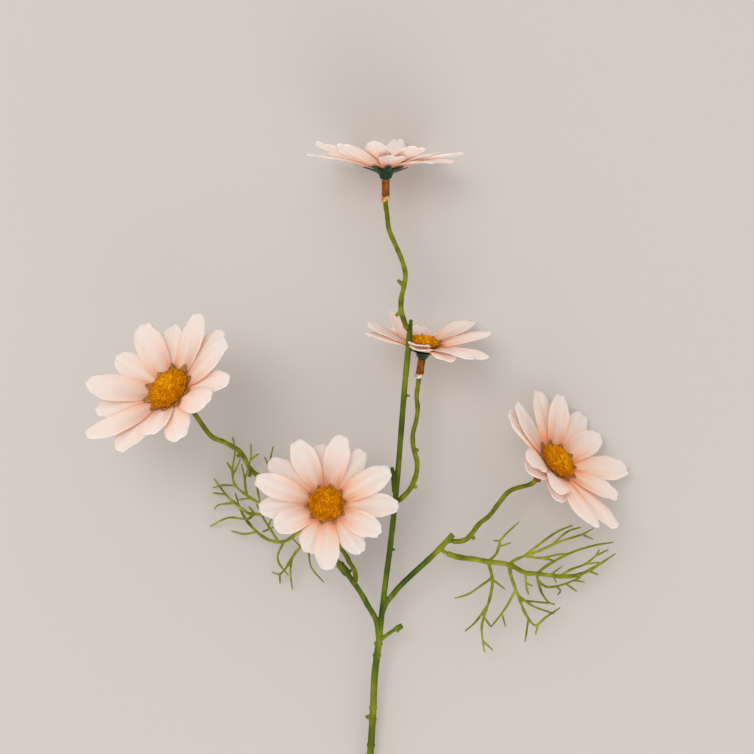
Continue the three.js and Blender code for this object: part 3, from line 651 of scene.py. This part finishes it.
def floret_disc(radius):
    drawing = bmesh.new()
    shade_layer = drawing.verts.layers.float.new("shade")
    add_dome(drawing, radius)
    for vert in drawing.verts:
        # the dome shows only in the gaps between florets, painted dark there as painted shade
        vert[shade_layer] = GAP_PAINTED_SHADE
    steepest = DOME_POWER * (dome_height(0, radius) - dome_height(1, radius)) / radius
    count = int((radius / FLORET_PITCH) ** 2 * pi * FLORET_CROWD)
    for i in range(count):
        part = sqrt((i + 0.5) / count)
        turn = i * GOLDEN_ANGLE
        reach = part * radius * 0.985
        out = polar(1, turn, 0)
        slope = (UP + out * (steepest * part ** (DOME_POWER - 1) + 0.25 * part)).normalized()
        size = FLORET_PITCH * dice.uniform(0.8, 1.25)
        place = out * reach + UP * (dome_height(part, radius) + dice.uniform(-0.2, 0.25))
        patch = noise.noise(polar(reach, turn, radius) * 0.45)
        # painted shade towards the rim, with patches of random tone
        shade = FLORET_SHADE - RIM_PAINTED_SHADE * part ** 3 + PATCH_SHADE * patch
        shade = min(1.0, max(0.0, shade + dice.uniform(-0.22, 0.24)))
        add_floret(drawing, shade_layer, place, slope, size, shade)
    edge = cup(radius) + DISC_LEVEL
    for i in range(int(2 * pi * radius / FLORET_PITCH)):
        # a ring of longer florets hangs over the rim and hides the flat underside; they are painted
        # darker, as painted shade at the rim
        out = polar(1, i * FLORET_PITCH / radius, 0)
        place = out * radius * dice.uniform(0.97, 1.02) + UP * (edge + dice.uniform(0.45, 1.0))
        slope = (out + UP * 0.35).normalized()
        add_floret(drawing, shade_layer, place, slope, FLORET_PITCH * 1.15, dice.uniform(0.12, 0.5))
    return drawing


for name, bloom in BLOOMS.items():
    finish_piece(f"{name}_floret_centre", floret_disc(bloom["disc"]), bloom_matrix(bloom),
                 OCHRE_FLOCK, "flower_centre", f"{name}_disc")

# %% [markdown]
# ## The star of bracts
# Under each centre lies a star with ten sharp brown tips. It is one flat grid
# wrapped round the axis: the rows run from the pin to the star's edge, and the
# edge goes out and in ten times. Each tip is pinched along its middle and bends
# up a little, as stamped paper or film does, and gets a slightly different length.

# %% Bracts
BRACT_TIPS = 10
BRACT_LEVEL = 1.62
BRACT_THICKNESS = 0.3
BRACT_SPREAD, VALLEY = 1.36, 0.97  # its edge at and between the tips, in radii of the centre
BEND_FROM, BEND = 0.8, 1.1  # from this part of the centre's radius the tips bend up
PINCH = 0.33
ROUND, OUTWARD = 120, 7


def bract_star(radius, spin):
    lengths = [dice.uniform(0.93, 1.05) for _ in range(BRACT_TIPS)]

    def place(across, part):
        turn = (across + 1) * pi
        spot = turn / (2 * pi) * BRACT_TIPS
        tip = 1 - abs(spot - round(spot)) * 2
        edge = radius * (VALLEY + (BRACT_SPREAD * lengths[round(spot) % BRACT_TIPS] - VALLEY) * tip)
        r = PIN_HOLE + (edge - PIN_HOLE) * part
        bent_up = BEND * max(0.0, r / radius - BEND_FROM) ** 1.4
        pinch = PINCH * tip * max(0.0, part - 0.5)
        return polar(r, turn + spin, cup(r) + BRACT_LEVEL + bent_up + pinch)

    drawing = bmesh.new()
    bent_grid(drawing, ROUND, OUTWARD, place)
    # the two ends of the grid meet round the axis
    bmesh.ops.remove_doubles(drawing, verts=drawing.verts, dist=1e-4)
    return drawing


for name, bloom in BLOOMS.items():
    star = bract_star(bloom["disc"], bloom["spin"])
    finish_piece(f"{name}_bract_star", star, bloom_matrix(bloom), BRACT_BROWN,
                 "brown_bract", f"{name}_bracts", BRACT_THICKNESS)

# %% [markdown]
# ## Calyx and neck
# Behind the petals sits a moulded dark green cup with eight pointed sepals, and
# below it a brown tube that joins the bloom to its stalk. The cup and the tube are
# spun profiles. A sepal is a narrow grid, keeled along its middle like a boat, with
# its tip bent a little away from the petals.

# %% Sepal cups
SEPALS = 8
SEPAL_LEVEL = -1.28
SEPAL_ROOT, SEPAL_REACH = 3.6, 10.6
SEPAL_OUTLINE = [(0, 1.5), (0.4, 2.0), (0.75, 1.3), (1, 0.12)]
SEPAL_HALF_WALL, KEEL = 0.34, 0.32


def add_sepal(drawing, turn, reach, droop, size):
    """A sepal's upper and lower skin, joined round their edges."""
    sides = []
    for wall in (SEPAL_HALF_WALL, -SEPAL_HALF_WALL):

        def place(across, along):
            radius = SEPAL_ROOT + (reach - SEPAL_ROOT) * along
            side = across * blend(SEPAL_OUTLINE, along) * size
            keel = KEEL * (across ** 2 - 0.5) * (1 - along)
            # the edges are thin and the keel under the middle is thick
            half = wall if wall > 0 else wall * (1.15 - abs(across) ** 1.5)
            height = cup(radius) + SEPAL_LEVEL - droop * along ** 2 + keel
            return polar(radius, turn, height + half * (1 - 0.45 * along), side)

        flat = bent_grid(drawing, 6, 14, place)
        if wall < 0:
            bmesh.ops.reverse_faces(drawing, faces=list({f for v in flat for f in v.link_faces}))
        sides.extend({e for v in flat for e in v.link_edges if e.is_boundary})
    bmesh.ops.bridge_loops(drawing, edges=sides)


def sepal_cup(size, spin):
    drawing = bmesh.new()
    under = SEPAL_LEVEL + 0.38
    spun(drawing, [
        (0, -6.9), (0.9, -6.9), (0.9, NECK_TOP + 0.25), (1.9, NECK_TOP + 0.2),
        (2.35, NECK_TOP + 0.38), (2.72, -3.2), (2.92, -2.7), (3.0, -2.2), (3.3, -1.75),
        (4.0, cup(4.0) - 1.72), (4.7, cup(4.7) - 1.62), (4.9, cup(4.9) - 1.3),
        (4.7, cup(4.7) + under), (PIN_HOLE, under), (PIN_HOLE, -2.8), (0, -2.8)])
    for i in range(SEPALS):
        turn = spin + i * 2 * pi / SEPALS + dice.uniform(-0.08, 0.08)
        reach = SEPAL_REACH * size * dice.uniform(0.93, 1.04)
        add_sepal(drawing, turn, reach, dice.uniform(-0.1, 0.35), size)
    return drawing


print("sepals on a cup:", SEPALS)


# %% Neck tubes, and both put in place
def neck_tube():
    """A tube with a lip at either end, and a socket for the cup above and the stalk below."""
    drawing = bmesh.new()
    spun(drawing, [
        (0, -7.4), (1.32, -7.4), (1.32, NECK_TOP), (1.72, NECK_TOP), (1.86, NECK_TOP - 0.12),
        (1.9, NECK_TOP - 0.4), (1.84, NECK_TOP - 0.9), (1.82, -7.8), (1.86, NECK_BOTTOM + 1.1),
        (1.97, NECK_BOTTOM + 0.55), (1.95, NECK_BOTTOM + 0.15), (1.82, NECK_BOTTOM),
        (1.1, NECK_BOTTOM), (1.1, -9.4), (0, -9.4)])
    return drawing


for name, bloom in BLOOMS.items():
    finish_piece(f"{name}_sepal_cup", sepal_cup(bloom["size"], bloom["spin"]), bloom_matrix(bloom),
                 SEPAL_GREEN, "dark_calyx", f"{name}_calyx")
    finish_piece(f"{name}_neck_tube", neck_tube(), bloom_matrix(bloom), NECK_BROWN,
                 "brown_neck", f"{name}_neck")

# %% [markdown]
# ## Rods along a curve
# Stem, stalks and fronds are all round rods that follow a smooth line and change
# thickness on the way. A curve object with a bevel makes such a rod, with a radius
# at each point. The rods of one moulding are then run together: a voxel remesh
# melts them into one skin, and a little smoothing rounds the joints as a mould
# does. That gives soft webs where twigs meet, which a Boolean would leave sharp.


# %% Smooth lines
def smooth_line(points, spacing_mm):
    """A smooth line through the points, as points about so many mm apart."""
    line = [Vector(p) for p in points]
    ends = [line[0] * 2 - line[1], *line, line[-1] * 2 - line[-2]]
    fine = []
    for p0, p1, p2, p3 in zip(ends, ends[1:], ends[2:], ends[3:]):
        t0, t1, t2 = [max(0.01, (b - a).length) ** 0.5 for a, b in ((p0, p1), (p1, p2), (p2, p3))]
        leave = ((p1 - p0) / t0 - (p2 - p0) / (t0 + t1) + (p2 - p1) / t1) * t1
        arrive = ((p2 - p1) / t1 - (p3 - p1) / (t1 + t2) + (p3 - p2) / t2) * t1
        steps = max(1, round((p2 - p1).length / spacing_mm))
        for step in range(steps):
            t = step / steps
            fine.append(
                p1 * (2 * t ** 3 - 3 * t ** 2 + 1) + leave * (t ** 3 - 2 * t ** 2 + t)
                + p2 * (3 * t ** 2 - 2 * t ** 3) + arrive * (t ** 3 - t ** 2))
    return [*fine, line[-1]]


print("points on a line of 10 mm:", len(smooth_line([(0, 0, 0), (10, 0, 0)], 1)))


# %% Rods, and how they melt together
def add_rod(drawing, points, stops, spacing_mm=1.2, lumps=0.0):
    """Adds a closed rod along the points to a bmesh; stops are (part of the way, radius)."""
    line = smooth_line(points, spacing_mm)
    curve = bpy.data.curves.new("rod", "CURVE")
    curve.dimensions = "3D"
    curve.bevel_depth = 1.0  # times the radius of each point
    curve.bevel_resolution = 4
    curve.use_fill_caps = True  # closed at both ends
    spline = curve.splines.new("POLY")
    spline.points.add(len(line) - 1)
    for i, (spot, place) in enumerate(zip(spline.points, line)):
        spot.co = (*place, 1)
        # lumps about 3 mm long
        swell = 1 + lumps * noise.noise(place * 0.35)
        spot.radius = blend(stops, i / (len(line) - 1)) * swell
    holder = bpy.data.objects.new("rod", curve)
    mesh = bpy.data.meshes.new_from_object(holder)
    drawing.from_mesh(mesh)
    bpy.data.objects.remove(holder)
    bpy.data.curves.remove(curve)
    bpy.data.meshes.remove(mesh)


def melted(drawing, voxel_mm, rounds):
    """Melts a bmesh's overlapping rods, in mm, into one smooth skin; gives a new bmesh."""
    holder = mesh_object("melt", drawing)
    remesh = holder.modifiers.new("remesh", "REMESH")
    remesh.mode = "VOXEL"
    remesh.voxel_size = voxel_mm
    soften = holder.modifiers.new("soften", "SMOOTH")
    soften.factor = 0.5
    soften.iterations = rounds
    shown = holder.evaluated_get(bpy.context.evaluated_depsgraph_get())
    baked = bpy.data.meshes.new_from_object(shown)
    skin = bmesh.new()
    skin.from_mesh(baked)
    bpy.data.objects.remove(holder)
    bpy.data.meshes.remove(baked)
    return skin


trial = bmesh.new()
add_rod(trial, [(0, 0, 0), (10, 0, 0)], [(0, 1), (1, 1)])
print("a rod of 10 mm:", len(trial.faces), "faces")
trial.free()

# %% [markdown]
# ## The main stem
# One moulding: the stem, which forks into a left and a right branch, a short stub,
# rings where the mould's parts met, and the nubs and pegs that stalks and fronds
# are pushed on. Its lines are the same as those of the solid.

# %% The stem's lines
TRUNK = [
    (-6.9, -250, 2.6), (-3.2, -183.3, 7.5), (-1.9, -161.9, 10), (-1.1, -143.9, 13),
    (0.7, -129, 15.5), (1.7, -119, 18), (4.1, -97.9, 21.5), (6.6, -78, 25), (9.6, -48.2, 29.5),
    (11.3, -26.4, 32.5), (13, -4.7, 35), (14.6, 12.6, 36.6), (15.9, 26.9, 38)]
LEFT_BRANCH = [
    (1.4, -128.9, 16), (0.6, -124.3, 17.5), (0, -118.3, 19), (-1.2, -114.6, 20),
    (-4.2, -109.6, 20.6), (-7.8, -103.1, 21.2), (-14.8, -93.1, 22), (-27.6, -77.1, 24),
    (-39.8, -59.3, 27), (-47.1, -49, 28.8)]
RIGHT_BRANCH = [
    (1.7, -120.5, 17.5), (2.6, -113, 19.2), (4.3, -108.3, 20.5), (7.2, -104.5, 21.3),
    (10.5, -100.4, 21.8), (17.2, -93.8, 22.4), (25.7, -86, 23), (31.8, -79.8, 23.5),
    (36.2, -75, 24)]
STUB = [(1.2, -127, 15.6), (4.8, -124, 16.5), (8.2, -121.5, 17.5), (12, -119.3, 18.5)]
RINGS = [((-0.1, -134.8, 14.5), 2.1), ((0.6, -129, 15.6), 2.2), ((-2.2, -166.5, 9.3), 2.05),
         ((-1.9, -161, 10.1), 2), ((-3, -179.5, 7.9), 2.05)]
# each nub: from, to, radius at its root, radius at its tip
NUBS = [
    ((-2, -164, 9.6), (-5.4, -165, 10.4), 1.1, 0.95),
    ((2, -116, 18.4), (-0.8, -116.6, 19.6), 0.9, 0.6),
    ((6.2, -81.6, 24.3), (8.7, -82.4, 24.6), 0.8, 0.5),
    ((8.2, -54.6, 28.8), (7.1, -42.6, 30.2), 1.1, 0.9),
    ((12.7, -8.4, 34.5), (15.5, -8.9, 34.4), 0.9, 0.45),
    ((-14.2, -94, 21.9), (-12, -92, 21.9), 1, 0.6),
    ((9.4, -121.3, 17.8), (10.4, -122.6, 17.9), 0.7, 0.5)]
PEGS = [((8.3, -60.8, 27.7), (11.1, -58.2, 28.7)), ((-11.5, -98.9, 21.6), (-10.8, -98, 24.2)),
        ((15.3, 20.6, 37.4), (13.4, 23.2, 40)), ((33.2, -78.4, 23.7), (36.8, -78.4, 24.2))]
LEAF_SEATS = [((29.6, -82, 23.3), (33.4, -84.1, 23.2)), ((-32.9, -69.5, 25.3), (-35.3, -71.4, 25)),
              ((-37.2, -63, 26.4), (-40, -63.3, 26)), ((-28.6, -75.9, 24.2), (-31.4, -77.3, 23.6))]
print("stem:", len(TRUNK + LEFT_BRANCH + RIGHT_BRANCH + STUB), "points,", len(RINGS), "rings,",
      len(NUBS), "nubs")

# %% The stem melted into one
STEM_VOXEL = 0.27
PEG_RADIUS = 0.75
RING_LENGTH = (0.1, 1.2, 0.15)  # along the stem
TRUNK_RADII = [(0, 1.72), (0.43, 1.72), (0.5, 1.42), (0.8, 1.38), (0.975, 1.42), (1, 0.85)]
drawing = bmesh.new()
add_rod(drawing, TRUNK, TRUNK_RADII, lumps=0.07)
add_rod(drawing, LEFT_BRANCH, [(0, 1.3), (0.2, 1.35), (1, 1.15)], lumps=0.1)
add_rod(drawing, RIGHT_BRANCH, [(0, 1), (0.15, 1.35), (1, 1.45)], lumps=0.1)
add_rod(drawing, STUB, [(0, 1.0), (0.68, 0.9), (0.82, 1.5), (1, 1.35)], 0.5)
add_rod(drawing, [(-13.9, -94.3, 21.9), (-18, -89.1, 22.5)], [(0, 1.5), (0.15, 2), (1, 2.1)], 0.5)
for place, radius in RINGS:
    end = [a + b for a, b in zip(place, RING_LENGTH)]
    add_rod(drawing, [place, end], [(0, radius), (1, radius)], 0.4)
for start, end, root, tip in NUBS:
    add_rod(drawing, [start, end], [(0, root), (1, tip)], 0.4)
for start, end in PEGS:
    add_rod(drawing, [start, end], [(0, PEG_RADIUS), (1, PEG_RADIUS)], 0.6)
for start, end in LEAF_SEATS:
    add_rod(drawing, [start, end], [(0, 1.05), (1, 0.95)], 0.6)
finish_piece("moulded_stem", melted(drawing, STEM_VOXEL, 3), SPRAY_MATRIX, STEM_GREEN,
             "green_stem", "main_stem")

# %% [markdown]
# ## Curly stalks
# Each bloom stands on a stalk that is pushed on a peg of the stem and bent into a
# curl while warm. It runs up into the neck tube. Little thorn-like nubs are left
# where the mould was filled.


# %% The stalks' lines
def on_axis(name, height):
    """A point on a bloom's axis, in the spray's own millimetres."""
    bloom = BLOOMS[name]
    return Vector(bloom["at"]) + Vector(bloom["axis"]).normalized() * height


STALKS = {
    "left": [(-47.6, -48.2, 29), (-48.9, -47.1, 29.4), (-52.9, -47.3, 31), (-56.7, -46, 32.5),
             (-60.2, -42.3, 34), (-61.9, -38.4, 36), (-63.6, -35.3, 38), (-65.9, -33.3, 40),
             (-70.8, -30.3, 43), (-76.4, -27.5, 46.5)],
    "right": [(36, -78.4, 24.1), (37.1, -78.3, 24.2), (40, -78.2, 24), (42.7, -77.2, 23.8),
              (45.6, -74.1, 23.4), (48.9, -69.9, 22.8), (53.3, -66.6, 22), (58.4, -60.2, 21),
              (63.4, -54.6, 20.4)],
    "front": [(-10.8, -98.3, 24.4), (-10.6, -97.4, 24.8), (-10.2, -95.6, 24.4),
              (-10.4, -93.3, 24.1), (-11, -91.4, 24.2), (-12.9, -88.5, 24.9), (-14.2, -85.5, 25.8),
              (-16.2, -82.5, 27), (-17.7, -79, 28.6)],
    "middle": [(10.6, -58.4, 28.6), (11.5, -57.5, 28.8), (13.9, -55.1, 29.3), (16.5, -51.5, 29.6),
               (18.6, -45.6, 29.8), (18.9, -39.9, 29.6), (17.3, -33.6, 29.2), (17, -27, 28.8),
               (18.6, -20.6, 28.3), (19.3, -15, 27.6), (18.8, -9.5, 26.6), (19.3, -5.2, 25.5)],
    "top": [(13.8, 22.9, 39.4), (13.3, 24.2, 40.4), (12.3, 27, 42.6), (11.2, 30.8, 44.2),
            (11.3, 36.6, 44.4), (12.6, 42.3, 43.2), (13.2, 47.9, 42), (11.6, 54.5, 40.6),
            (8.4, 62.3, 38), (5.6, 69.4, 35.5), (4.8, 76.3, 33.4)],
}
STALK_NUBS = {
    "left": [((-63.2, -36, 38), (-65.5, -37.2, 38.4)), ((-58.8, -43.8, 33.4), (-60.4, -47, 33.4))],
    "right": [((44.4, -75.4, 23.6), (46.6, -77.2, 24))],
    "front": [],
    "middle": [((17.4, -34.8, 29.3), (19.7, -34.4, 29.7)),
               ((16.7, -51, 29.6), (18.9, -52.4, 29.9))],
    "top": [((11.3, 30.4, 44.2), (8.7, 28.4, 44.8)), ((12.6, 42.2, 43.2), (9.6, 45, 43.8))],
}
print("stalks drawn:", ", ".join(STALKS))

# %% Stalks, each with the pin that goes into its neck
STALK_RADIUS, STALK_PIN, STALK_PIN_END = 1.15, 0.7, -9.8
STALK_VOXEL = 0.22
for name, points in STALKS.items():
    drawing = bmesh.new()
    route = [*points, on_axis(name, NECK_BOTTOM - 4), on_axis(name, NECK_BOTTOM - 0.2)]
    add_rod(drawing, route, [(0, 1.3), (0.08, 1.25), (0.3, STALK_RADIUS), (1, STALK_RADIUS)],
            lumps=0.14)
    add_rod(drawing, [on_axis(name, NECK_BOTTOM - 1), on_axis(name, STALK_PIN_END)],
            [(0, STALK_PIN), (1, STALK_PIN)])
    for start, end in STALK_NUBS[name]:
        add_rod(drawing, [start, end], [(0, 1.15), (1, 0.8)], 0.4)
    finish_piece(f"{name}_curly_stalk", melted(drawing, STALK_VOXEL, 3), SPRAY_MATRIX, STALK_OLIVE,
                 "olive_stalk", f"{name}_stalk")

# %% [markdown]
# ## Squeezed-out glue
# The top and the middle neck were fixed with hot glue, and a bead of it shows
# under each: a ring that bulges more on one side. It is spun like the neck, and
# then pushed out of round with a noise pattern.


# %% Glue beads
GLUE_BORE = 1.2
DRIP_TURN = 2.5  # turns the angle so that the near left side is 0


def glue_bead(thickness, drip, seed):
    drawing = bmesh.new()
    profile = [(0, -1.9), (0.3, -2.1), (0.8, -1.6), (1, -0.9), (0.9, -0.2), (0.4, 0.1), (0, 0),
               (0, -1.9)]
    spun(drawing, [(GLUE_BORE + part * thickness, NECK_BOTTOM + up) for part, up in profile])
    for vert in drawing.verts:
        if hypot(vert.co.x, vert.co.y) > GLUE_BORE + 0.05:
            # most of it ran down on the near left side
            near_left = cos(atan2(vert.co.y, vert.co.x) + DRIP_TURN)
            bulge = 1 + 0.12 * near_left + 0.3 * noise.noise(vert.co * 0.7 + Vector((seed, 0, 0)))
            vert.co.x *= bulge
            vert.co.y *= bulge
            vert.co.z += 0.4 * noise.noise(vert.co * 0.8 + Vector((0, seed, 0))) - drip * near_left
    return drawing


for name, thickness, drip, glue, slot in (("top", 0.9, 1.1, AMBER_GLUE, "amber_glue"),
                                          ("middle", 1.1, 0.4, CREAM_GLUE, "cream_glue")):
    bead = glue_bead(thickness, drip, len(name))
    finish_piece(f"{name}_glue_bead", bead, bloom_matrix(BLOOMS[name]), glue, slot, f"{name}_glue")

# %% [markdown]
# ## Thread-leaved fronds
# A cosmos leaf is cut into threads. Each frond is drawn as twigs, seen from above
# and measured from where it leaves the stem: the radius at the root, the points, and
# the radius of the tip where that is thicker than a thread. The frond sinks from the
# stem towards the surface, the further out the deeper. A twig's root is moved to the
# nearest point of the twigs before it, so that all hold together, and the whole is
# melted into one moulding.

# %% The twigs of the right frond
RIGHT_TWIGS = [
    (1.5, (0, 0), (4.5, -1.5), (14.5, -3), (19.5, -4), (29.5, -5.5), (37.5, -9.5), (43, -10),
     (55, -11.5), (63, -11), (71, -7.5), (81.5, -1), 0.408),
    (0.8, (19.5, -4), (23.5, 0), (25.5, 6), (28, 9), (34.5, 15)),
    (0.6, (25.5, 6), (22, 6)),
    (0.6, (25, 2.5), (30.5, 5)),
    (0.9, (19.5, -4), (21.5, -12.5), (20.5, -21), (17.5, -30.5), (16.5, -36), (18, -48)),
    (0.7, (21.5, -11.5), (16, -15.5), (10, -19.5), (3.5, -21.5)),
    (0.6, (22, -12.5), (28, -17.5)),
    (0.7, (19, -25), (13.5, -33), (8.5, -37.5)),
    (0.6, (18, -31), (21, -35.5)),
    (0.6, (18, -42), (22, -47)),
    (0.9, (29.5, -5.5), (33, -3), (37, -1.5), 0.544),
    (0.8, (37, -1.5), (43.5, 3.5), (53, 10), (60.5, 13)),
    (0.8, (37, -1.5), (43, 0.5), (55, 5.5), (65, 8.5), (71, 11.5)),
    (0.6, (65, 8.5), (70.5, 6)),
    (0.6, (50, 3.5), (58, 10), (64.5, 12)),
    (0.7, (37, -1.5), (45.5, -2.5), (53, -1), (58.5, -0.5)),
    (0.6, (45.5, -2.5), (52, -4)),
    (0.9, (29.5, -5.5), (30.5, -11), (34, -20.5), (38, -30), (42.5, -35), (47, -31.5),
     (54.5, -26.5)),
    (0.6, (39, -31.5), (37.5, -43)),
    (0.6, (43.5, -34.5), (42.5, -39.5)),
    (0.7, (34, -20.5), (41, -25.5), (51.5, -29.5)),
    (0.6, (35, -22.5), (42, -23.5), (50, -24.5)),
    (0.7, (32.5, -18), (28.5, -25.5), (23, -33), (21, -35.5)),
    (0.6, (26, -29), (28, -35.5)),
    (0.7, (37.5, -9.5), (38, -16.5), (39, -20)),
    (0.6, (38, -14.5), (41, -16)),
    (0.8, (43, -10), (47.5, -6.5), (59, -0.5), (70.5, 3), (80.5, 4.5)),
    (0.8, (43, -10), (43.5, -13.5), 0.476),
    (0.7, (43.5, -13.5), (48, -16.5), (55.5, -15.5), (61, -13.5), (64.5, -12)),
    (0.6, (57.5, -15), (62.5, -19)),
    (0.6, (61, -13.5), (66.5, -14.5)),
    (0.6, (52.5, -16), (54.5, -18.5), (53, -20.5)),
    (0.7, (43.5, -13.5), (45.5, -19.5), (49, -24), (52, -25)),
    (0.6, (49.5, -10.5), (55.5, -6.5)),
    (0.7, (54.5, -11.5), (59, -8.5), (66, -6), (71.5, -2), (73.5, 1)),
    (0.6, (71.5, -2), (78, 1)),
    (0.6, (66, -6), (73.5, -5)),
    (0.6, (51, -11), (52.5, -14.5)),
    (0.6, (68, -9), (73, -11)),
]
print(len(RIGHT_TWIGS), "twigs")

# %% The twigs of the left fronds
LEFT_TWIGS_LOWER = [
    (1, (0, 0), (-2, -2.5), (-6, -5.5), (-9.5, -8), (-13.5, -9), (-18.5, -8), (-23, -5.5),
     (-26.5, -2.5), (-30, 1.5), (-32.5, 5.5), (-35.5, 13.5)),
    (0.7, (-13.5, -8.5), (-18, -2), (-21, 2.5), (-24.5, 9)),
    (0.6, (-24.5, -4.5), (-30.5, -6), (-37.5, -5)),
    (0.6, (-18, -2.5), (-15, -1.5)),
    (0.6, (-18, -2.5), (-21.5, -4.5)),
    (0.6, (-18.5, -1.5), (-16, 4)),
    (0.7, (-11, -8.5), (-14, -16), (-13.5, -19.5), (-9, -26)),
]
LEFT_TWIGS_MIDDLE = [
    (1, (0, 0), (-5.5, 0), (-10, -1), (-17.5, -2), (-23.5, -2), (-26.5, -0.5), (-30.5, 2.5),
     (-34.5, 5.5), (-42, 14)),
    (0.6, (-36, 6.5), (-42.5, 7)),
    (0.7, (-31, 3), (-40, 1), (-41.5, -1)),
    (0.6, (-21, -2), (-24, 1.5)),
    (0.7, (-21, -2), (-24, -4.5), (-34, -4.5), (-44, -9.5)),
    (0.6, (-18.5, -2), (-16, -4.5)),
    (0.8, (-5.5, 0), (-17.5, 3), (-24.5, 6.5), (-31, 11.5), (-32.5, 17.5), (-31.5, 27.5),
     (-33, 34)),
    (0.6, (-30.5, 11), (-37.5, 11), (-42.5, 9.5)),
    (0.6, (-22.5, 5.5), (-29, 4.5)),
    (0.7, (-25, 7), (-26.5, 16), (-28, 21.5)),
    (0.6, (-26, 14), (-23.5, 23.5), (-23.5, 31)),
    (0.6, (-23.5, 23.5), (-19.5, 26.5)),
    (0.6, (-18.5, 3.5), (-20, 11.5)),
    (0.6, (-32.5, 18.5), (-35.5, 22)),
    (0.6, (-31.5, 16.5), (-29.5, 21.5), (-28.5, 24.5)),
    (0.7, (-5.5, 0), (-11, 6), (-13, 16), (-13.5, 24), (-12.5, 30)),
    (0.6, (-13.5, 19), (-16.5, 25)),
]
LEFT_TWIGS_NEAR = [
    (0.9, (0, 0), (-3.5, -2), (-7, -5), (-9.5, -7.5), (-11.5, -10.5), (-15.5, -17),
     (-18.5, -19.5), (-22, -18.5)),
    (0.6, (-18, -19), (-18, -24.5)),
    (0.6, (-11.5, -10.5), (-12.5, -17), (-12, -27.5)),
    (0.6, (-3.5, -2), (-3, -11.5), (-2, -15.5), (3.5, -23)),
    (0.6, (-7, -5), (-11.5, -0.5)),
]
print(len(LEFT_TWIGS_LOWER + LEFT_TWIGS_MIDDLE + LEFT_TWIGS_NEAR), "twigs")

# %% Fronds, each melted into one
# where each leaves the stem, how far it sinks and over which distance, and its twigs
FRONDS = {
    "right_frond": ((33.6, -84.2, 23.2), 10, 85, RIGHT_TWIGS),
    "left_frond_lower": ((-33.7, -70.1, 25.5), 24, 42, LEFT_TWIGS_LOWER),
    "left_frond_middle": ((-37.7, -63.6, 26.6), 27.2, 50, LEFT_TWIGS_MIDDLE),
    "left_frond_near": ((-29.3, -76.4, 24.2), 19, 30, LEFT_TWIGS_NEAR),
}
THREAD_TIP = 0.34
TWIG_VOXEL = 0.21
TWIG_STEP = 0.8


def frond(base, drop, span, twigs):
    def sink(x, y):
        depth = drop * (hypot(x, y) / span) ** 1.5
        return Vector((base[0] + x, base[1] + y, base[2] - depth))

    drawing = bmesh.new()
    trail = []
    for root, *points in twigs:
        end = points.pop() if isinstance(points[-1], float) else THREAD_TIP
        route = [sink(x, y) for x, y in points]
        if trail:
            route[0] = min(trail, key=lambda spot: (spot - route[0]).length).copy()
        trail.extend(smooth_line(route, TWIG_STEP))
        add_rod(drawing, route, [(0, root), (0.12, root * 0.9), (0.75, (root + end) / 2), (1, end)],
                TWIG_STEP, lumps=0.25)
    return melted(drawing, TWIG_VOXEL, 2)


for name, (base, drop, span, twigs) in FRONDS.items():
    finish_piece(f"{name}_threads", frond(base, drop, span, twigs), SPRAY_MATRIX, FROND_GREEN,
                 "frond_plastic", name)

# %% [markdown]
# ## Surface and light
# The spray lies on a plain pale surface. The light of the photograph is daylight
# through a big window: broad, soft and a little stronger from the top left, so that
# shadows are faint. A large panel high up stands for the window, a second, weaker
# one fills from the foot of the picture, and the world's even white does the rest.

# %% Surface
FLOOR_SIZE = 6.0
drawing = bmesh.new()
bmesh.ops.create_grid(drawing, x_segments=1, y_segments=1, size=FLOOR_SIZE / 2)
surface = mesh_object("surface", drawing)
board = new_material("matt_pale_board", Base_Color=linear("beb7b0"), Roughness=0.95,
                     Specular_IOR_Level=0.1)[0]
surface.data.materials.append(board)
surface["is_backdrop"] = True
print("surface:", FLOOR_SIZE, "m square")


# %% Lights and world
def panel(name, place, size, watts):
    """A square soft light, placed in metres, that faces the middle of the spray."""
    data = bpy.data.lights.new(name, "AREA")
    data.size = size
    data.energy = watts
    light = new_object(name, data)
    light.location = place
    light.rotation_euler = (-Vector(place)).to_track_quat("-Z", "Y").to_euler()


panel("window", (-0.6, 0.6, 2.1), size=1.0, watts=16)
panel("fill", (0.4, -1.7, 1.1), size=1.6, watts=12)
world = bpy.data.worlds.new("soft_daylight")
world.use_nodes = True
tune(world.node_tree.nodes["Background"], Color=linear("ffffff"), Strength=0.9)
bpy.context.scene.world = world
bpy.context.scene.view_settings.view_transform = "Standard"
print("lights:", len(bpy.data.lights), "and the world")

# %% Both boxes, printed in millimetres
SHOWN_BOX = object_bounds()
sizes = {"cad": [list(corner) for corner in CAD_BOX], "visual": [list(corner) for corner in SHOWN_BOX]}
for label, (low, high) in sizes.items():
    print(label, "box in mm:", [round((b - a) / MM, 1) for a, b in zip(low, high)])
